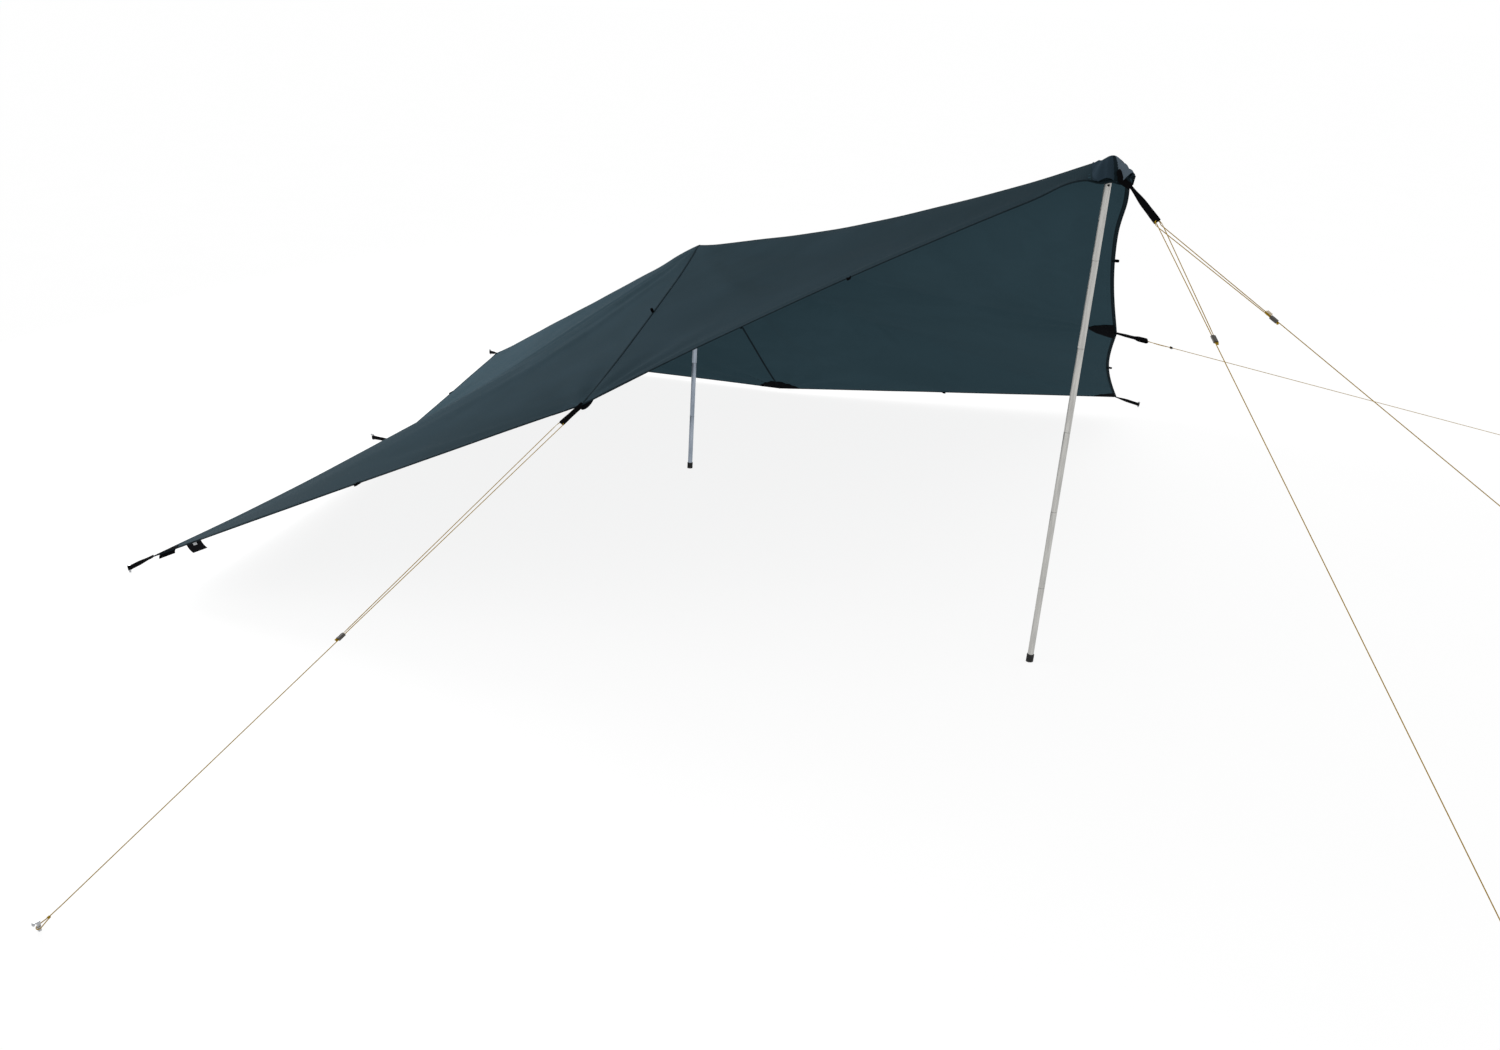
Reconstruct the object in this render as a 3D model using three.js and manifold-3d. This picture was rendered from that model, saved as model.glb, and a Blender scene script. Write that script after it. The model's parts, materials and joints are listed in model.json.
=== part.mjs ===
// A square tarp pitched as a shelter: two fabric panels over a front pole and a centre pole,
// with reinforced corners, webbing loops, guylines with runners, and ground pegs.
// Millimetres, +Z up. The origin is on the ground under the centre pole's foot, +X points to the
// raised corner. The points that hold the canopy are symmetric about the XZ plane.
import * as THREE from "three";
import { mergeVertices } from "three/addons/utils/BufferGeometryUtils.js";
import Module from "manifold-3d";

const wasm = await Module();
wasm.setup();

// Canopy: the square's side and the points that hold it.
const TARP_SIDE = 4400;
const PEAK_X = 2935;
const PEAK_Z = 2035;
const RAISED_CORNER = [3050, 0, 1990];
const RAISED_CORNER_FLAP = 130;
const CENTRE = [60, 0, 1268];
const REAR_CORNER = [-2805, 0, 34];
const SIDE_CORNER = [395, 2945, 152];
const HIGH_EDGE_MIDDLE = [1685, 1480, 990];
const LOW_EDGE_MIDDLE = [-1110, 1335, 32];
const HEM_BY_POLE = [2925, 102, 1957];

// Canopy: how it is stretched, as tensions in units of the fabric's own tension over one metre.
const GRID_STEPS = 20;
const RIGHT_FRONT_HEM_TENSION = 55;
const LEFT_FRONT_HEM_TENSION = 1.7;
const SIDE_HEM_TENSION = 62;
const REAR_HEM_TENSION = 116;
const FRONT_RIDGE_TENSION = 15.4;
const REAR_RIDGE_TENSION = 132;
const SEAM_TENSION = 10;
const CROSS_TENSION = 7.6;
const FABRIC_WEIGHT = 0.17;
const RELAX_SWEEPS = 1500;
const RELAX_FACTOR = 1.85;

// Canopy: thicknesses.
const FABRIC_THICKNESS = 3;
const GAP = 0.3;
const PANEL_GAP = 1;
const TRIM_CLEARANCE = 5;
const TRIM_THICKNESS = 1.6;
const TAG_CLEARANCE = 26;
const SEAM_WIDTH = 14;
const HEM_WIDTH = 6;
const HEM_END = 0.004;
const PROBE = 0.01;
const PATCH_INSET = 0.002;
const CORNER_PATCH_SIDE = 0.08;
const EDGE_PATCH_HALF = 0.033;
const EDGE_PATCH_DEPTH = 0.031;
const CENTRE_PATCH_HALF = 0.03;
const CENTRE_PATCH_CLEARANCE = 6;

// Webbing loops.
const WEBBING_WIDTH = 20;
const FRONT_WEBBING_WIDTH = 25;
const WEBBING_THICKNESS = 1.6;
const LOOP_HEIGHT = 13;
const LOOP_START = 22;

// Poles.
const POLE_DIAMETER = 25;
const POLE_WALL = 1.2;
const SPIGOT_LENGTH = 50;
const FRONT_POLE_FOOT_X = 2805;
const FRONT_POLE_SECTIONS = 6;
const CENTRE_POLE_FOOT_X = 0;
const CENTRE_POLE_SECTIONS = 4;
const TIP_BELOW_FABRIC = 12;
const TIP_PLUG_LENGTH = 30;
const FOOT_DIAMETER = 30;
const FOOT_HEIGHT = 34;
const FOOT_SOLE = 5;
const FOOT_CHAMFER = { height: 3, depth: 1.2 };
const ROUND_STEPS = 20;

// Guylines, runners and pegs.
const CORD_DIAMETER = 3;
const RUNNER = { length: 28, width: 19, thickness: 11, hole: 4.8, pitch: 8 };
const PEG_SHAFT = 8;
const PEG_HEIGHT = 34;
const PEG_HOOK = { reach: 14, drop: 9, bar: 5 };
const PEG_LINE_HEIGHT = 13;
const PEG_IN_LOOP_CLEARANCE = 5;
const FRONT_LEFT_PEG = [6040, -1112, 0];
const FRONT_RIGHT_PEG = [6040, 1055, 0];
const LEFT_PEG = [2740, -3695, 0];
const RIGHT_PEG = [1960, 4960, 0];
const FRONT_LEFT_RUNNER_DISTANCE = 560;
const FRONT_RIGHT_RUNNER_DISTANCE = 505;
const LEFT_RUNNER_DISTANCE = 1250;
const LINE_START = 12;

const MATERIALS = {
  fabric: { color: 0x2e3b42, roughness: 0.75, metalness: 0 },
  reinforcement: { color: 0x121416, roughness: 0.8, metalness: 0 },
  cornerFabric: { color: 0x59676e, roughness: 0.55, metalness: 0 },
  webbing: { color: 0x0c0c0e, roughness: 0.85, metalness: 0 },
  aluminium: { color: 0xb4b4b0, roughness: 0.35, metalness: 1 },
  rubber: { color: 0x101010, roughness: 0.9, metalness: 0 },
  plastic: { color: 0x2a2724, roughness: 0.5, metalness: 0 },
  cord: { color: 0xb9995c, roughness: 0.8, metalness: 0 },
};

const vector = (p) => new THREE.Vector3(...p);
const mirrored = (p) => [p[0], -p[1], p[2]];
const UP = new THREE.Vector3(0, 0, 1);

const shelter = new THREE.Group();

function addMesh(name, geometry, finish, parent = shelter) {
  const mesh = new THREE.Mesh(
    geometry,
    new THREE.MeshStandardMaterial(MATERIALS[finish]),
  );
  mesh.name = name;
  parent.add(mesh);
  return mesh;
}

// ---- Canopy surface: a net stretched between its anchors ----

// Grid lines along one side, as shares of the side, closer together at the raised corner.
const peakShare = RAISED_CORNER_FLAP / Math.SQRT2 / TARP_SIDE;
const gridLines = [0, peakShare, 2 * peakShare];
for (let i = 2; i <= GRID_STEPS; i++) gridLines.push(i / GRID_STEPS);
const COUNT = gridLines.length;
const MIDDLE = gridLines.indexOf(0.5);
const LAST = COUNT - 1;

// Rows run from the raised corner to the left corner, columns to the right corner.
const anchors = new Map([
  [[0, 0], vector(RAISED_CORNER)],
  [[1, 1], new THREE.Vector3(PEAK_X, 0, PEAK_Z)],
  [[MIDDLE, MIDDLE], vector(CENTRE)],
  [[LAST, LAST], vector(REAR_CORNER)],
  [[LAST, 0], vector(mirrored(SIDE_CORNER))],
  [[0, LAST], vector(SIDE_CORNER)],
  [[MIDDLE, 0], vector(mirrored(HIGH_EDGE_MIDDLE))],
  [[0, MIDDLE], vector(HIGH_EDGE_MIDDLE)],
  [[LAST, MIDDLE], vector(mirrored(LOW_EDGE_MIDDLE))],
  [[MIDDLE, LAST], vector(LOW_EDGE_MIDDLE)],
  [[2, 0], vector(mirrored(HEM_BY_POLE))],
  [[0, 2], vector(HEM_BY_POLE)],
]);

function stretchedNet() {
  const metres = TARP_SIDE / 1000;
  const index = (i, j) => i * COUNT + j;
  const points = [];
  const links = [];
  const share = gridLines.map(
    (u, i) => ((gridLines[i + 1] ?? u) - (gridLines[i - 1] ?? u)) / 2,
  );
  const link = (a, b, weight) => {
    links[a].push([b, weight]);
    links[b].push([a, weight]);
  };
  for (let i = 0; i < COUNT; i++)
    for (let j = 0; j < COUNT; j++) {
      const [s, t] = [gridLines[i], gridLines[j]];
      const high = vector(RAISED_CORNER);
      const left = vector(mirrored(SIDE_CORNER)).sub(high).multiplyScalar(s);
      const right = vector(SIDE_CORNER).sub(high).multiplyScalar(t);
      points.push(high.clone().add(left).add(right));
      links.push([]);
    }
  // The extra tension of a tape along a grid line, at a position along that line.
  const tape = (line, position, frontHem) => {
    if (line === LAST) return REAR_HEM_TENSION;
    if (line === MIDDLE) return SEAM_TENSION;
    if (line > 0) return 0;
    return position < MIDDLE ? frontHem : SIDE_HEM_TENSION;
  };
  for (let i = 0; i < COUNT; i++)
    for (let j = 0; j < LAST; j++) {
      const step = gridLines[j + 1] - gridLines[j];
      const fabric = share[i] / step;
      const right = tape(i, j, RIGHT_FRONT_HEM_TENSION) / (metres * step);
      const left = tape(i, j, LEFT_FRONT_HEM_TENSION) / (metres * step);
      link(index(i, j), index(i, j + 1), fabric + right);
      link(index(j, i), index(j + 1, i), fabric + left);
    }
  for (let i = 0; i < LAST; i++) {
    const diagonal = metres * Math.SQRT2 * (gridLines[i + 1] - gridLines[i]);
    const ridge = i < MIDDLE ? FRONT_RIDGE_TENSION : REAR_RIDGE_TENSION;
    link(index(i, i), index(i + 1, i + 1), ridge / diagonal);
    if (i > 2 && i < LAST - 2)
      link(
        index(i, COUNT - i),
        index(i + 1, LAST - i),
        CROSS_TENSION / diagonal,
      );
  }
  const fixed = new Map();
  anchors.forEach((point, [i, j]) => fixed.set(index(i, j), point));
  fixed.forEach((point, k) => points[k].copy(point));
  const next = new THREE.Vector3();
  for (let sweep = 0; sweep < RELAX_SWEEPS; sweep++)
    points.forEach((point, k) => {
      if (fixed.has(k)) return;
      const [i, j] = [Math.floor(k / COUNT), k % COUNT];
      next.set(0, 0, -FABRIC_WEIGHT * metres ** 2 * share[i] * share[j]);
      let total = 0;
      for (const [other, weight] of links[k]) {
        next.addScaledVector(points[other], weight);
        total += weight;
      }
      point.lerp(next.divideScalar(total), RELAX_FACTOR);
    });
  return (i, j) => points[index(i, j)];
}

const netPoint = stretchedNet();

// The canopy's middle surface at shares s and t of its sides, and its upward normal there.
function onCanopy(s, t) {
  const cell = (share) => {
    const k = Math.min(
      gridLines.findLastIndex((u) => u <= share + 1e-9),
      LAST - 1,
    );
    return [k, (share - gridLines[k]) / (gridLines[k + 1] - gridLines[k])];
  };
  const [i, a] = cell(s);
  const [j, b] = cell(t);
  const corner = a >= b ? netPoint(i + 1, j) : netPoint(i, j + 1);
  return netPoint(i, j)
    .clone()
    .multiplyScalar(1 - Math.max(a, b))
    .addScaledVector(corner, Math.abs(a - b))
    .addScaledVector(netPoint(i + 1, j + 1), Math.min(a, b));
}

function canopyNormal(s, t) {
  const h = PROBE;
  const clamp = (share) => THREE.MathUtils.clamp(share, 0, 1);
  const ds = onCanopy(clamp(s + h), t).sub(onCanopy(clamp(s - h), t));
  const dt = onCanopy(s, clamp(t + h)).sub(onCanopy(s, clamp(t - h)));
  const normal = ds.cross(dt).normalize();
  return normal.z < 0 ? normal.negate() : normal;
}

// ---- Solids made from a sheet of points ----

// A closed shell from rows of [top, bottom] point pairs.
function slab(rows) {
  const columns = rows[0].length;
  const vertices = [];
  rows.forEach((row) => row.forEach((pair) => vertices.push(pair)));
  const index = (i, j) => i * columns + j;
  const faces = [];
  const quad = (a, b, c, d) => faces.push([a, b, c], [a, c, d]);
  const quadBelow = (a, b, c, d) => faces.push([c, b, a], [d, c, a]);
  const top = (k) => vertices[k][0];
  const bottom = (k) => vertices[k][1];
  for (let i = 0; i + 1 < rows.length; i++)
    for (let j = 0; j + 1 < columns; j++) {
      const ring = [
        index(i, j),
        index(i + 1, j),
        index(i + 1, j + 1),
        index(i, j + 1),
      ];
      quad(...ring.map(top));
      quadBelow(...ring.map(bottom));
    }
  const rim = [];
  for (let j = 0; j < columns - 1; j++) rim.push(index(0, j));
  for (let i = 0; i < rows.length - 1; i++) rim.push(index(i, columns - 1));
  for (let j = columns - 1; j > 0; j--) rim.push(index(rows.length - 1, j));
  for (let i = rows.length - 1; i > 0; i--) rim.push(index(i, 0));
  rim.forEach((k, n) => {
    const after = rim[(n + 1) % rim.length];
    quad(top(k), top(after), bottom(after), bottom(k));
  });
  return closedSolid(faces);
}

// A geometry with its faces turned outwards.
function closedSolid(faces) {
  const volume = faces.reduce(
    (sum, [a, b, c]) => sum + a.dot(b.clone().cross(c)),
    0,
  );
  const flat = [];
  faces.forEach((face) => {
    const points = volume < 0 ? face.toReversed() : face;
    points.forEach((point) => flat.push(...point.toArray()));
  });
  const geometry = new THREE.BufferGeometry();
  geometry.setAttribute(
    "position",
    new THREE.Float32BufferAttribute(flat, 3),
  );
  return geometry;
}

// A patch of sheet over the shares given by place(a, b), lying below the canopy or on it.
function sheetSolid(place, stepsA, stepsB, offset, thickness) {
  const rows = [];
  for (let i = 0; i <= stepsA; i++) {
    const row = [];
    for (let j = 0; j <= stepsB; j++) {
      const [s, t] = place(i / stepsA, j / stepsB);
      const point = onCanopy(s, t);
      const normal = canopyNormal(s, t);
      row.push([
        point.clone().addScaledVector(normal, offset),
        point.clone().addScaledVector(normal, offset - thickness),
      ]);
    }
    rows.push(row);
  }
  return slab(rows);
}

// ---- Canopy parts ----

function addPanel(name, lines) {
  const rows = lines.map((s) =>
    gridLines.map((t) => {
      const point = onCanopy(s, t);
      const normal = canopyNormal(s, t);
      return [
        point.clone().addScaledVector(normal, FABRIC_THICKNESS / 2),
        point.clone().addScaledVector(normal, -FABRIC_THICKNESS / 2),
      ];
    }),
  );
  addMesh(name, slab(rows), "fabric");
}

const seamShare = PANEL_GAP / TARP_SIDE;
addPanel("front_panel", [...gridLines.slice(0, MIDDLE), 0.5 - seamShare]);
addPanel("rear_panel", [0.5 + seamShare, ...gridLines.slice(MIDDLE + 1)]);

const underside = -FABRIC_THICKNESS / 2 - TRIM_CLEARANCE;
const seamHalf = SEAM_WIDTH / 2 / TARP_SIDE;
const seamEnd = 0.012;
const seamSteps = 40;
addMesh(
  "centre_seam",
  sheetSolid(
    (a, b) => [
      0.5 + (b - 0.5) * 2 * seamHalf,
      seamEnd + a * (1 - 2 * seamEnd),
    ],
    seamSteps,
    1,
    underside,
    TRIM_THICKNESS,
  ),
  "fabric",
);

// A hem along one edge: a narrow strip just outside the panels, from corner to corner.
function addHem(name, place) {
  const rows = [];
  for (let k = 0; k <= LAST; k++) {
    const share = THREE.MathUtils.clamp(gridLines[k], HEM_END, 1 - HEM_END);
    const [s, t] = place(share, 0);
    const point = onCanopy(s, t);
    const normal = canopyNormal(s, t);
    const inside = onCanopy(...place(share, PROBE));
    const outward = point.clone().sub(inside).normalize();
    const width = outward.clone().multiplyScalar(HEM_WIDTH);
    const edge = point.clone().addScaledVector(outward, GAP + 1);
    const lift = normal.clone().multiplyScalar(FABRIC_THICKNESS / 2);
    rows.push([
      [edge.clone().add(lift), edge.clone().sub(lift)],
      [edge.clone().add(width).add(lift), edge.clone().add(width).sub(lift)],
    ]);
  }
  addMesh(name, slab(rows), "fabric");
}
addHem("left_front_hem", (along, inward) => [along, inward]);
addHem("left_rear_hem", (along, inward) => [1 - inward, along]);
addHem("right_rear_hem", (along, inward) => [along, 1 - inward]);
addHem("right_front_hem", (along, inward) => [inward, along]);

// The raised corner's reinforcement: a square that follows the canopy over the pole's tip.
const hoodLines = gridLines.slice(0, 3);
addMesh(
  "front_corner_patch",
  sheetSolid(
    (a, b) => [hoodLines[2 * a], hoodLines[2 * b]],
    2,
    2,
    underside,
    TRIM_THICKNESS,
  ),
  "cornerFabric",
);

// The other corner reinforcements: triangles under the canopy.
const corners = { left: [1, 0], rear: [1, 1], right: [0, 1] };
Object.entries(corners).forEach(([name, at]) => {
  const place = (a, b) => {
    const narrowEnd = 0.08;
    const reach = CORNER_PATCH_SIDE * (narrowEnd + (1 - narrowEnd) * a);
    const [s, t] = [PATCH_INSET + reach * b, PATCH_INSET + reach * (1 - b)];
    return [at[0] ? 1 - s : s, at[1] ? 1 - t : t];
  };
  addMesh(
    `${name}_corner_patch`,
    sheetSolid(place, 6, 6, underside, TRIM_THICKNESS),
    "reinforcement",
  );
});

// Edge reinforcements: half ovals under the middle of each edge.
const edges = {
  left_front: (along, inward) => [along, inward],
  left_rear: (along, inward) => [1 - inward, along],
  right_rear: (along, inward) => [along, 1 - inward],
  right_front: (along, inward) => [inward, along],
};
Object.entries(edges).forEach(([name, place]) => {
  const shape = (a, b) => {
    const nearlyOne = 0.996;
    const across = nearlyOne * (2 * a - 1);
    const depth = EDGE_PATCH_DEPTH * Math.sqrt(1 - across ** 2);
    return place(0.5 + EDGE_PATCH_HALF * across, PATCH_INSET / 2 + depth * b);
  };
  addMesh(
    `${name}_edge_patch`,
    sheetSolid(shape, 10, 3, underside - 2 * TRIM_THICKNESS, TRIM_THICKNESS),
    "reinforcement",
  );
});

// The reinforcement over the centre pole's tip.
addMesh(
  "centre_patch",
  sheetSolid(
    (a, b) => [
      0.5 + CENTRE_PATCH_HALF * (a + b - 1),
      0.5 + CENTRE_PATCH_HALF * (a - b),
    ],
    8,
    8,
    underside - CENTRE_PATCH_CLEARANCE,
    TRIM_THICKNESS,
  ),
  "reinforcement",
);

// ---- Webbing loops ----

function racetrack(length, height) {
  const radius = height / 2;
  const shape = new THREE.Shape();
  shape.moveTo(radius, -radius);
  shape.lineTo(length - radius, -radius);
  shape.absarc(length - radius, 0, radius, -Math.PI / 2, Math.PI / 2);
  shape.lineTo(radius, radius);
  shape.absarc(radius, 0, radius, Math.PI / 2, (3 * Math.PI) / 2);
  return shape;
}

// Turns a mesh so that its X runs from start to end and its Z is as near to across as it can be.
function aim(mesh, start, end, across) {
  const x = end.clone().sub(start).normalize();
  const z = across.clone().addScaledVector(x, -across.dot(x)).normalize();
  const y = z.clone().cross(x);
  mesh.quaternion.setFromRotationMatrix(
    new THREE.Matrix4().makeBasis(x, y, z),
  );
  mesh.position.copy(start);
}

function addLoop(name, start, end, across, width) {
  const from = start
    .clone()
    .addScaledVector(end.clone().sub(start).normalize(), LOOP_START);
  const length = from.distanceTo(end);
  const shape = racetrack(length, LOOP_HEIGHT);
  const slot = racetrack(
    length - 2 * WEBBING_THICKNESS,
    LOOP_HEIGHT - 2 * WEBBING_THICKNESS,
  );
  const hole = new THREE.Path(
    slot
      .getPoints(8)
      .map((p) => new THREE.Vector2(p.x + WEBBING_THICKNESS, p.y)),
  );
  shape.holes.push(hole);
  const geometry = new THREE.ExtrudeGeometry(shape, {
    depth: width,
    bevelEnabled: false,
    curveSegments: 8,
  }).translate(0, 0, -width / 2);
  aim(addMesh(name, geometry, "webbing"), from, end, across);
}

const SIDEWAYS = new THREE.Vector3(0, 1, 0);
const guyedLoops = {
  front: {
    start: [3052, 0, 1976],
    end: [3180, 0, 1843],
    across: SIDEWAYS,
    width: FRONT_WEBBING_WIDTH,
  },
  left: {
    start: mirrored(HIGH_EDGE_MIDDLE),
    end: [1735, -1592, 942],
    across: new THREE.Vector3(1, 0.5, 0),
  },
  right: {
    start: HIGH_EDGE_MIDDLE,
    end: [1702, 1697, 930],
    across: new THREE.Vector3(1, -0.2, 0),
  },
};
const groundLoops = {
  left_corner: { start: mirrored(SIDE_CORNER), end: [125, -3000, 14] },
  right_corner: { start: SIDE_CORNER, end: [250, 3335, 14] },
  rear_corner: { start: REAR_CORNER, end: [-2929, 0, 14] },
  left_rear_edge: { start: mirrored(LOW_EDGE_MIDDLE), end: [-1308, -1407, 14] },
  right_rear_edge: { start: LOW_EDGE_MIDDLE, end: [-1285, 1480, 14] },
};
Object.entries(guyedLoops).forEach(([name, loop]) =>
  addLoop(
    `${name}_guy_loop`,
    vector(loop.start),
    vector(loop.end),
    loop.across,
    loop.width ?? WEBBING_WIDTH,
  ),
);
Object.entries(groundLoops).forEach(([name, { start, end }]) =>
  addLoop(`${name}_peg_loop`, vector(start), vector(end), UP, WEBBING_WIDTH),
);

// The spare tab and the sewn-in label by the left corner: flat tags hanging from the hem.
function addTag(name, along, size, finish) {
  const hang = onCanopy(1 - along, HEM_END);
  const next = onCanopy(1 - along - PROBE, HEM_END);
  const run = next.clone().sub(hang).normalize();
  const drop = canopyNormal(1 - along, HEM_END).negate();
  const geometry = new THREE.BoxGeometry(...size);
  const mesh = addMesh(name, geometry, finish);
  mesh.quaternion.setFromRotationMatrix(
    new THREE.Matrix4().makeBasis(run, drop.clone().cross(run).negate(), drop),
  );
  mesh.position
    .copy(hang)
    .addScaledVector(drop, size[2] / 2 + TAG_CLEARANCE);
}
addTag("spare_webbing_tab", 0.019, [45, 2, WEBBING_WIDTH], "webbing");
addTag("sewn_label", 0.05, [100, 1.6, 45], "reinforcement");

// ---- Poles ----

const lathe = (profile) =>
  new THREE.LatheGeometry(
    profile.map(([r, z]) => new THREE.Vector2(r, z)),
    ROUND_STEPS,
  ).rotateX(Math.PI / 2);

function cutBelowGround(geometry, matrix) {
  const solidOf = (made) => {
    made.deleteAttribute("normal");
    made.deleteAttribute("uv");
    const merged = mergeVertices(made, 1e-3);
    return new wasm.Manifold(
      new wasm.Mesh({
        numProp: 3,
        vertProperties: merged.attributes.position.array,
        triVerts: new Uint32Array(merged.index.array),
      }),
    );
  };
  const depth = 100;
  const place = new THREE.Vector3().setFromMatrixPosition(matrix);
  const earth = new THREE.BoxGeometry(depth, depth, depth)
    .translate(place.x, place.y, -depth / 2);
  const cut = solidOf(geometry.applyMatrix4(matrix))
    .subtract(solidOf(earth))
    .getMesh();
  const result = new THREE.BufferGeometry();
  result.setAttribute(
    "position",
    new THREE.BufferAttribute(new Float32Array(cut.vertProperties), 3),
  );
  result.setIndex(new THREE.BufferAttribute(cut.triVerts, 1));
  return result;
}

// A pole from a foot on the ground to a domed tip just under the fabric.
function addPole(name, footX, peak, sections) {
  const outer = POLE_DIAMETER / 2;
  const inner = outer - POLE_WALL;
  const foot = new THREE.Vector3(footX, 0, 0);
  const axis = peak.clone().sub(foot).normalize();
  const length = peak.distanceTo(foot) - TIP_BELOW_FABRIC;
  const pole = new THREE.Group();
  pole.position.copy(foot);
  pole.quaternion.setFromUnitVectors(UP, axis);
  shelter.add(pole);
  pole.updateMatrixWorld(true);

  const tubeStart = FOOT_SOLE + GAP;
  const tubeEnd = length - outer - GAP;
  const step = (tubeEnd - tubeStart) / sections;
  const spigot = inner - GAP;
  const spigotInner = spigot - POLE_WALL;
  for (let k = 0; k < sections; k++) {
    const low = tubeStart + k * step;
    const high = low + step - GAP;
    const last = k === sections - 1;
    const profile = last
      ? [
          [inner, low],
          [outer, low],
          [outer, high],
          [inner, high],
          [inner, low],
        ]
      : [
          [inner, low],
          [outer, low],
          [outer, high],
          [spigot, high],
          [spigot, high + SPIGOT_LENGTH],
          [spigotInner, high + SPIGOT_LENGTH],
          [spigotInner, high - POLE_WALL],
          [inner, high - POLE_WALL],
          [inner, low],
        ];
    addMesh(`${name}_section_${k + 1}`, lathe(profile), "aluminium", pole);
  }

  const rim = FOOT_DIAMETER / 2;
  const cup = outer + GAP;
  const footProfile = [
    [0, -FOOT_SOLE],
    [rim, -FOOT_SOLE],
    [rim, FOOT_HEIGHT - FOOT_CHAMFER.height],
    [rim - FOOT_CHAMFER.depth, FOOT_HEIGHT],
    [cup, FOOT_HEIGHT],
    [cup, FOOT_SOLE],
    [0, FOOT_SOLE],
  ];
  addMesh(
    `${name}_foot`,
    cutBelowGround(lathe(footProfile), pole.matrixWorld),
    "rubber",
  );

  // The tip's dome is centred on the pole's axis, so it turns in place when the pole swings.
  const dome = length - outer;
  const tipProfile = [
    [0, dome - TIP_PLUG_LENGTH],
    [inner - GAP, dome - TIP_PLUG_LENGTH],
    [inner - GAP, dome],
    [outer, dome],
  ];
  const domeSteps = 5;
  for (let k = 1; k < domeSteps; k++) {
    const angle = (k / domeSteps) * (Math.PI / 2);
    tipProfile.push([outer * Math.cos(angle), dome + outer * Math.sin(angle)]);
  }
  tipProfile.push([0, dome + outer]);
  addMesh(`${name}_tip`, lathe(tipProfile), "plastic", pole);
}

addPole(
  "front_pole",
  FRONT_POLE_FOOT_X,
  new THREE.Vector3(PEAK_X, 0, PEAK_Z - TIP_BELOW_FABRIC),
  FRONT_POLE_SECTIONS,
);
addPole(
  "centre_pole",
  CENTRE_POLE_FOOT_X,
  vector(CENTRE).addScaledVector(UP, -TIP_BELOW_FABRIC),
  CENTRE_POLE_SECTIONS,
);

// ---- Pegs ----

// The part of a peg above the ground: a square shaft whose top hooks over, away from the load.
function addPeg(name, at, load) {
  const half = PEG_SHAFT / 2;
  const { reach, drop, bar } = PEG_HOOK;
  const shape = new THREE.Shape();
  shape.moveTo(-half, 0);
  shape.lineTo(half, 0);
  shape.lineTo(half, PEG_HEIGHT - bar);
  shape.lineTo(half + reach - bar, PEG_HEIGHT - bar);
  shape.lineTo(half + reach - bar, PEG_HEIGHT - drop);
  shape.lineTo(half + reach, PEG_HEIGHT - drop);
  shape.lineTo(half + reach, PEG_HEIGHT - bar / 2);
  shape.lineTo(half + reach - bar / 2, PEG_HEIGHT);
  shape.lineTo(-half, PEG_HEIGHT);
  shape.closePath();
  const geometry = new THREE.ExtrudeGeometry(shape, {
    depth: PEG_SHAFT,
    bevelEnabled: false,
  }).translate(0, 0, -half);
  const mesh = addMesh(name, geometry, "aluminium");
  const away = at.clone().sub(load).setZ(0).normalize();
  mesh.quaternion.setFromRotationMatrix(
    new THREE.Matrix4().makeBasis(away, UP, away.clone().cross(UP)),
  );
  mesh.position.copy(at);
}

// A peg stands in the far end of each ground loop.
Object.entries(groundLoops).forEach(([name, { start, end }]) => {
  const tip = vector(end);
  const pull = vector(start).sub(tip);
  const lean = (WEBBING_WIDTH / 2) * (pull.z / pull.length());
  const inset = PEG_SHAFT / 2 + PEG_IN_LOOP_CLEARANCE + lean;
  const at = tip.addScaledVector(pull.clone().setZ(0).normalize(), inset);
  addPeg(`${name}_peg`, at.setZ(0), vector(start));
});

// ---- Guylines ----

function addTube(name, points) {
  const curve = new THREE.CurvePath();
  const radius = CORD_DIAMETER / 2;
  const section = new THREE.Shape();
  for (let k = 0; k < 8; k++) {
    const angle = (k / 8) * 2 * Math.PI;
    const corner = [radius * Math.cos(angle), radius * Math.sin(angle)];
    if (k === 0) section.moveTo(...corner);
    else section.lineTo(...corner);
  }
  section.closePath();
  points
    .slice(1)
    .forEach((point, k) => curve.add(new THREE.LineCurve3(points[k], point)));
  const geometry = new THREE.ExtrudeGeometry(section, {
    extrudePath: curve,
    steps: 4,
    bevelEnabled: false,
  });
  addMesh(name, geometry, "cord");
}

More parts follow.
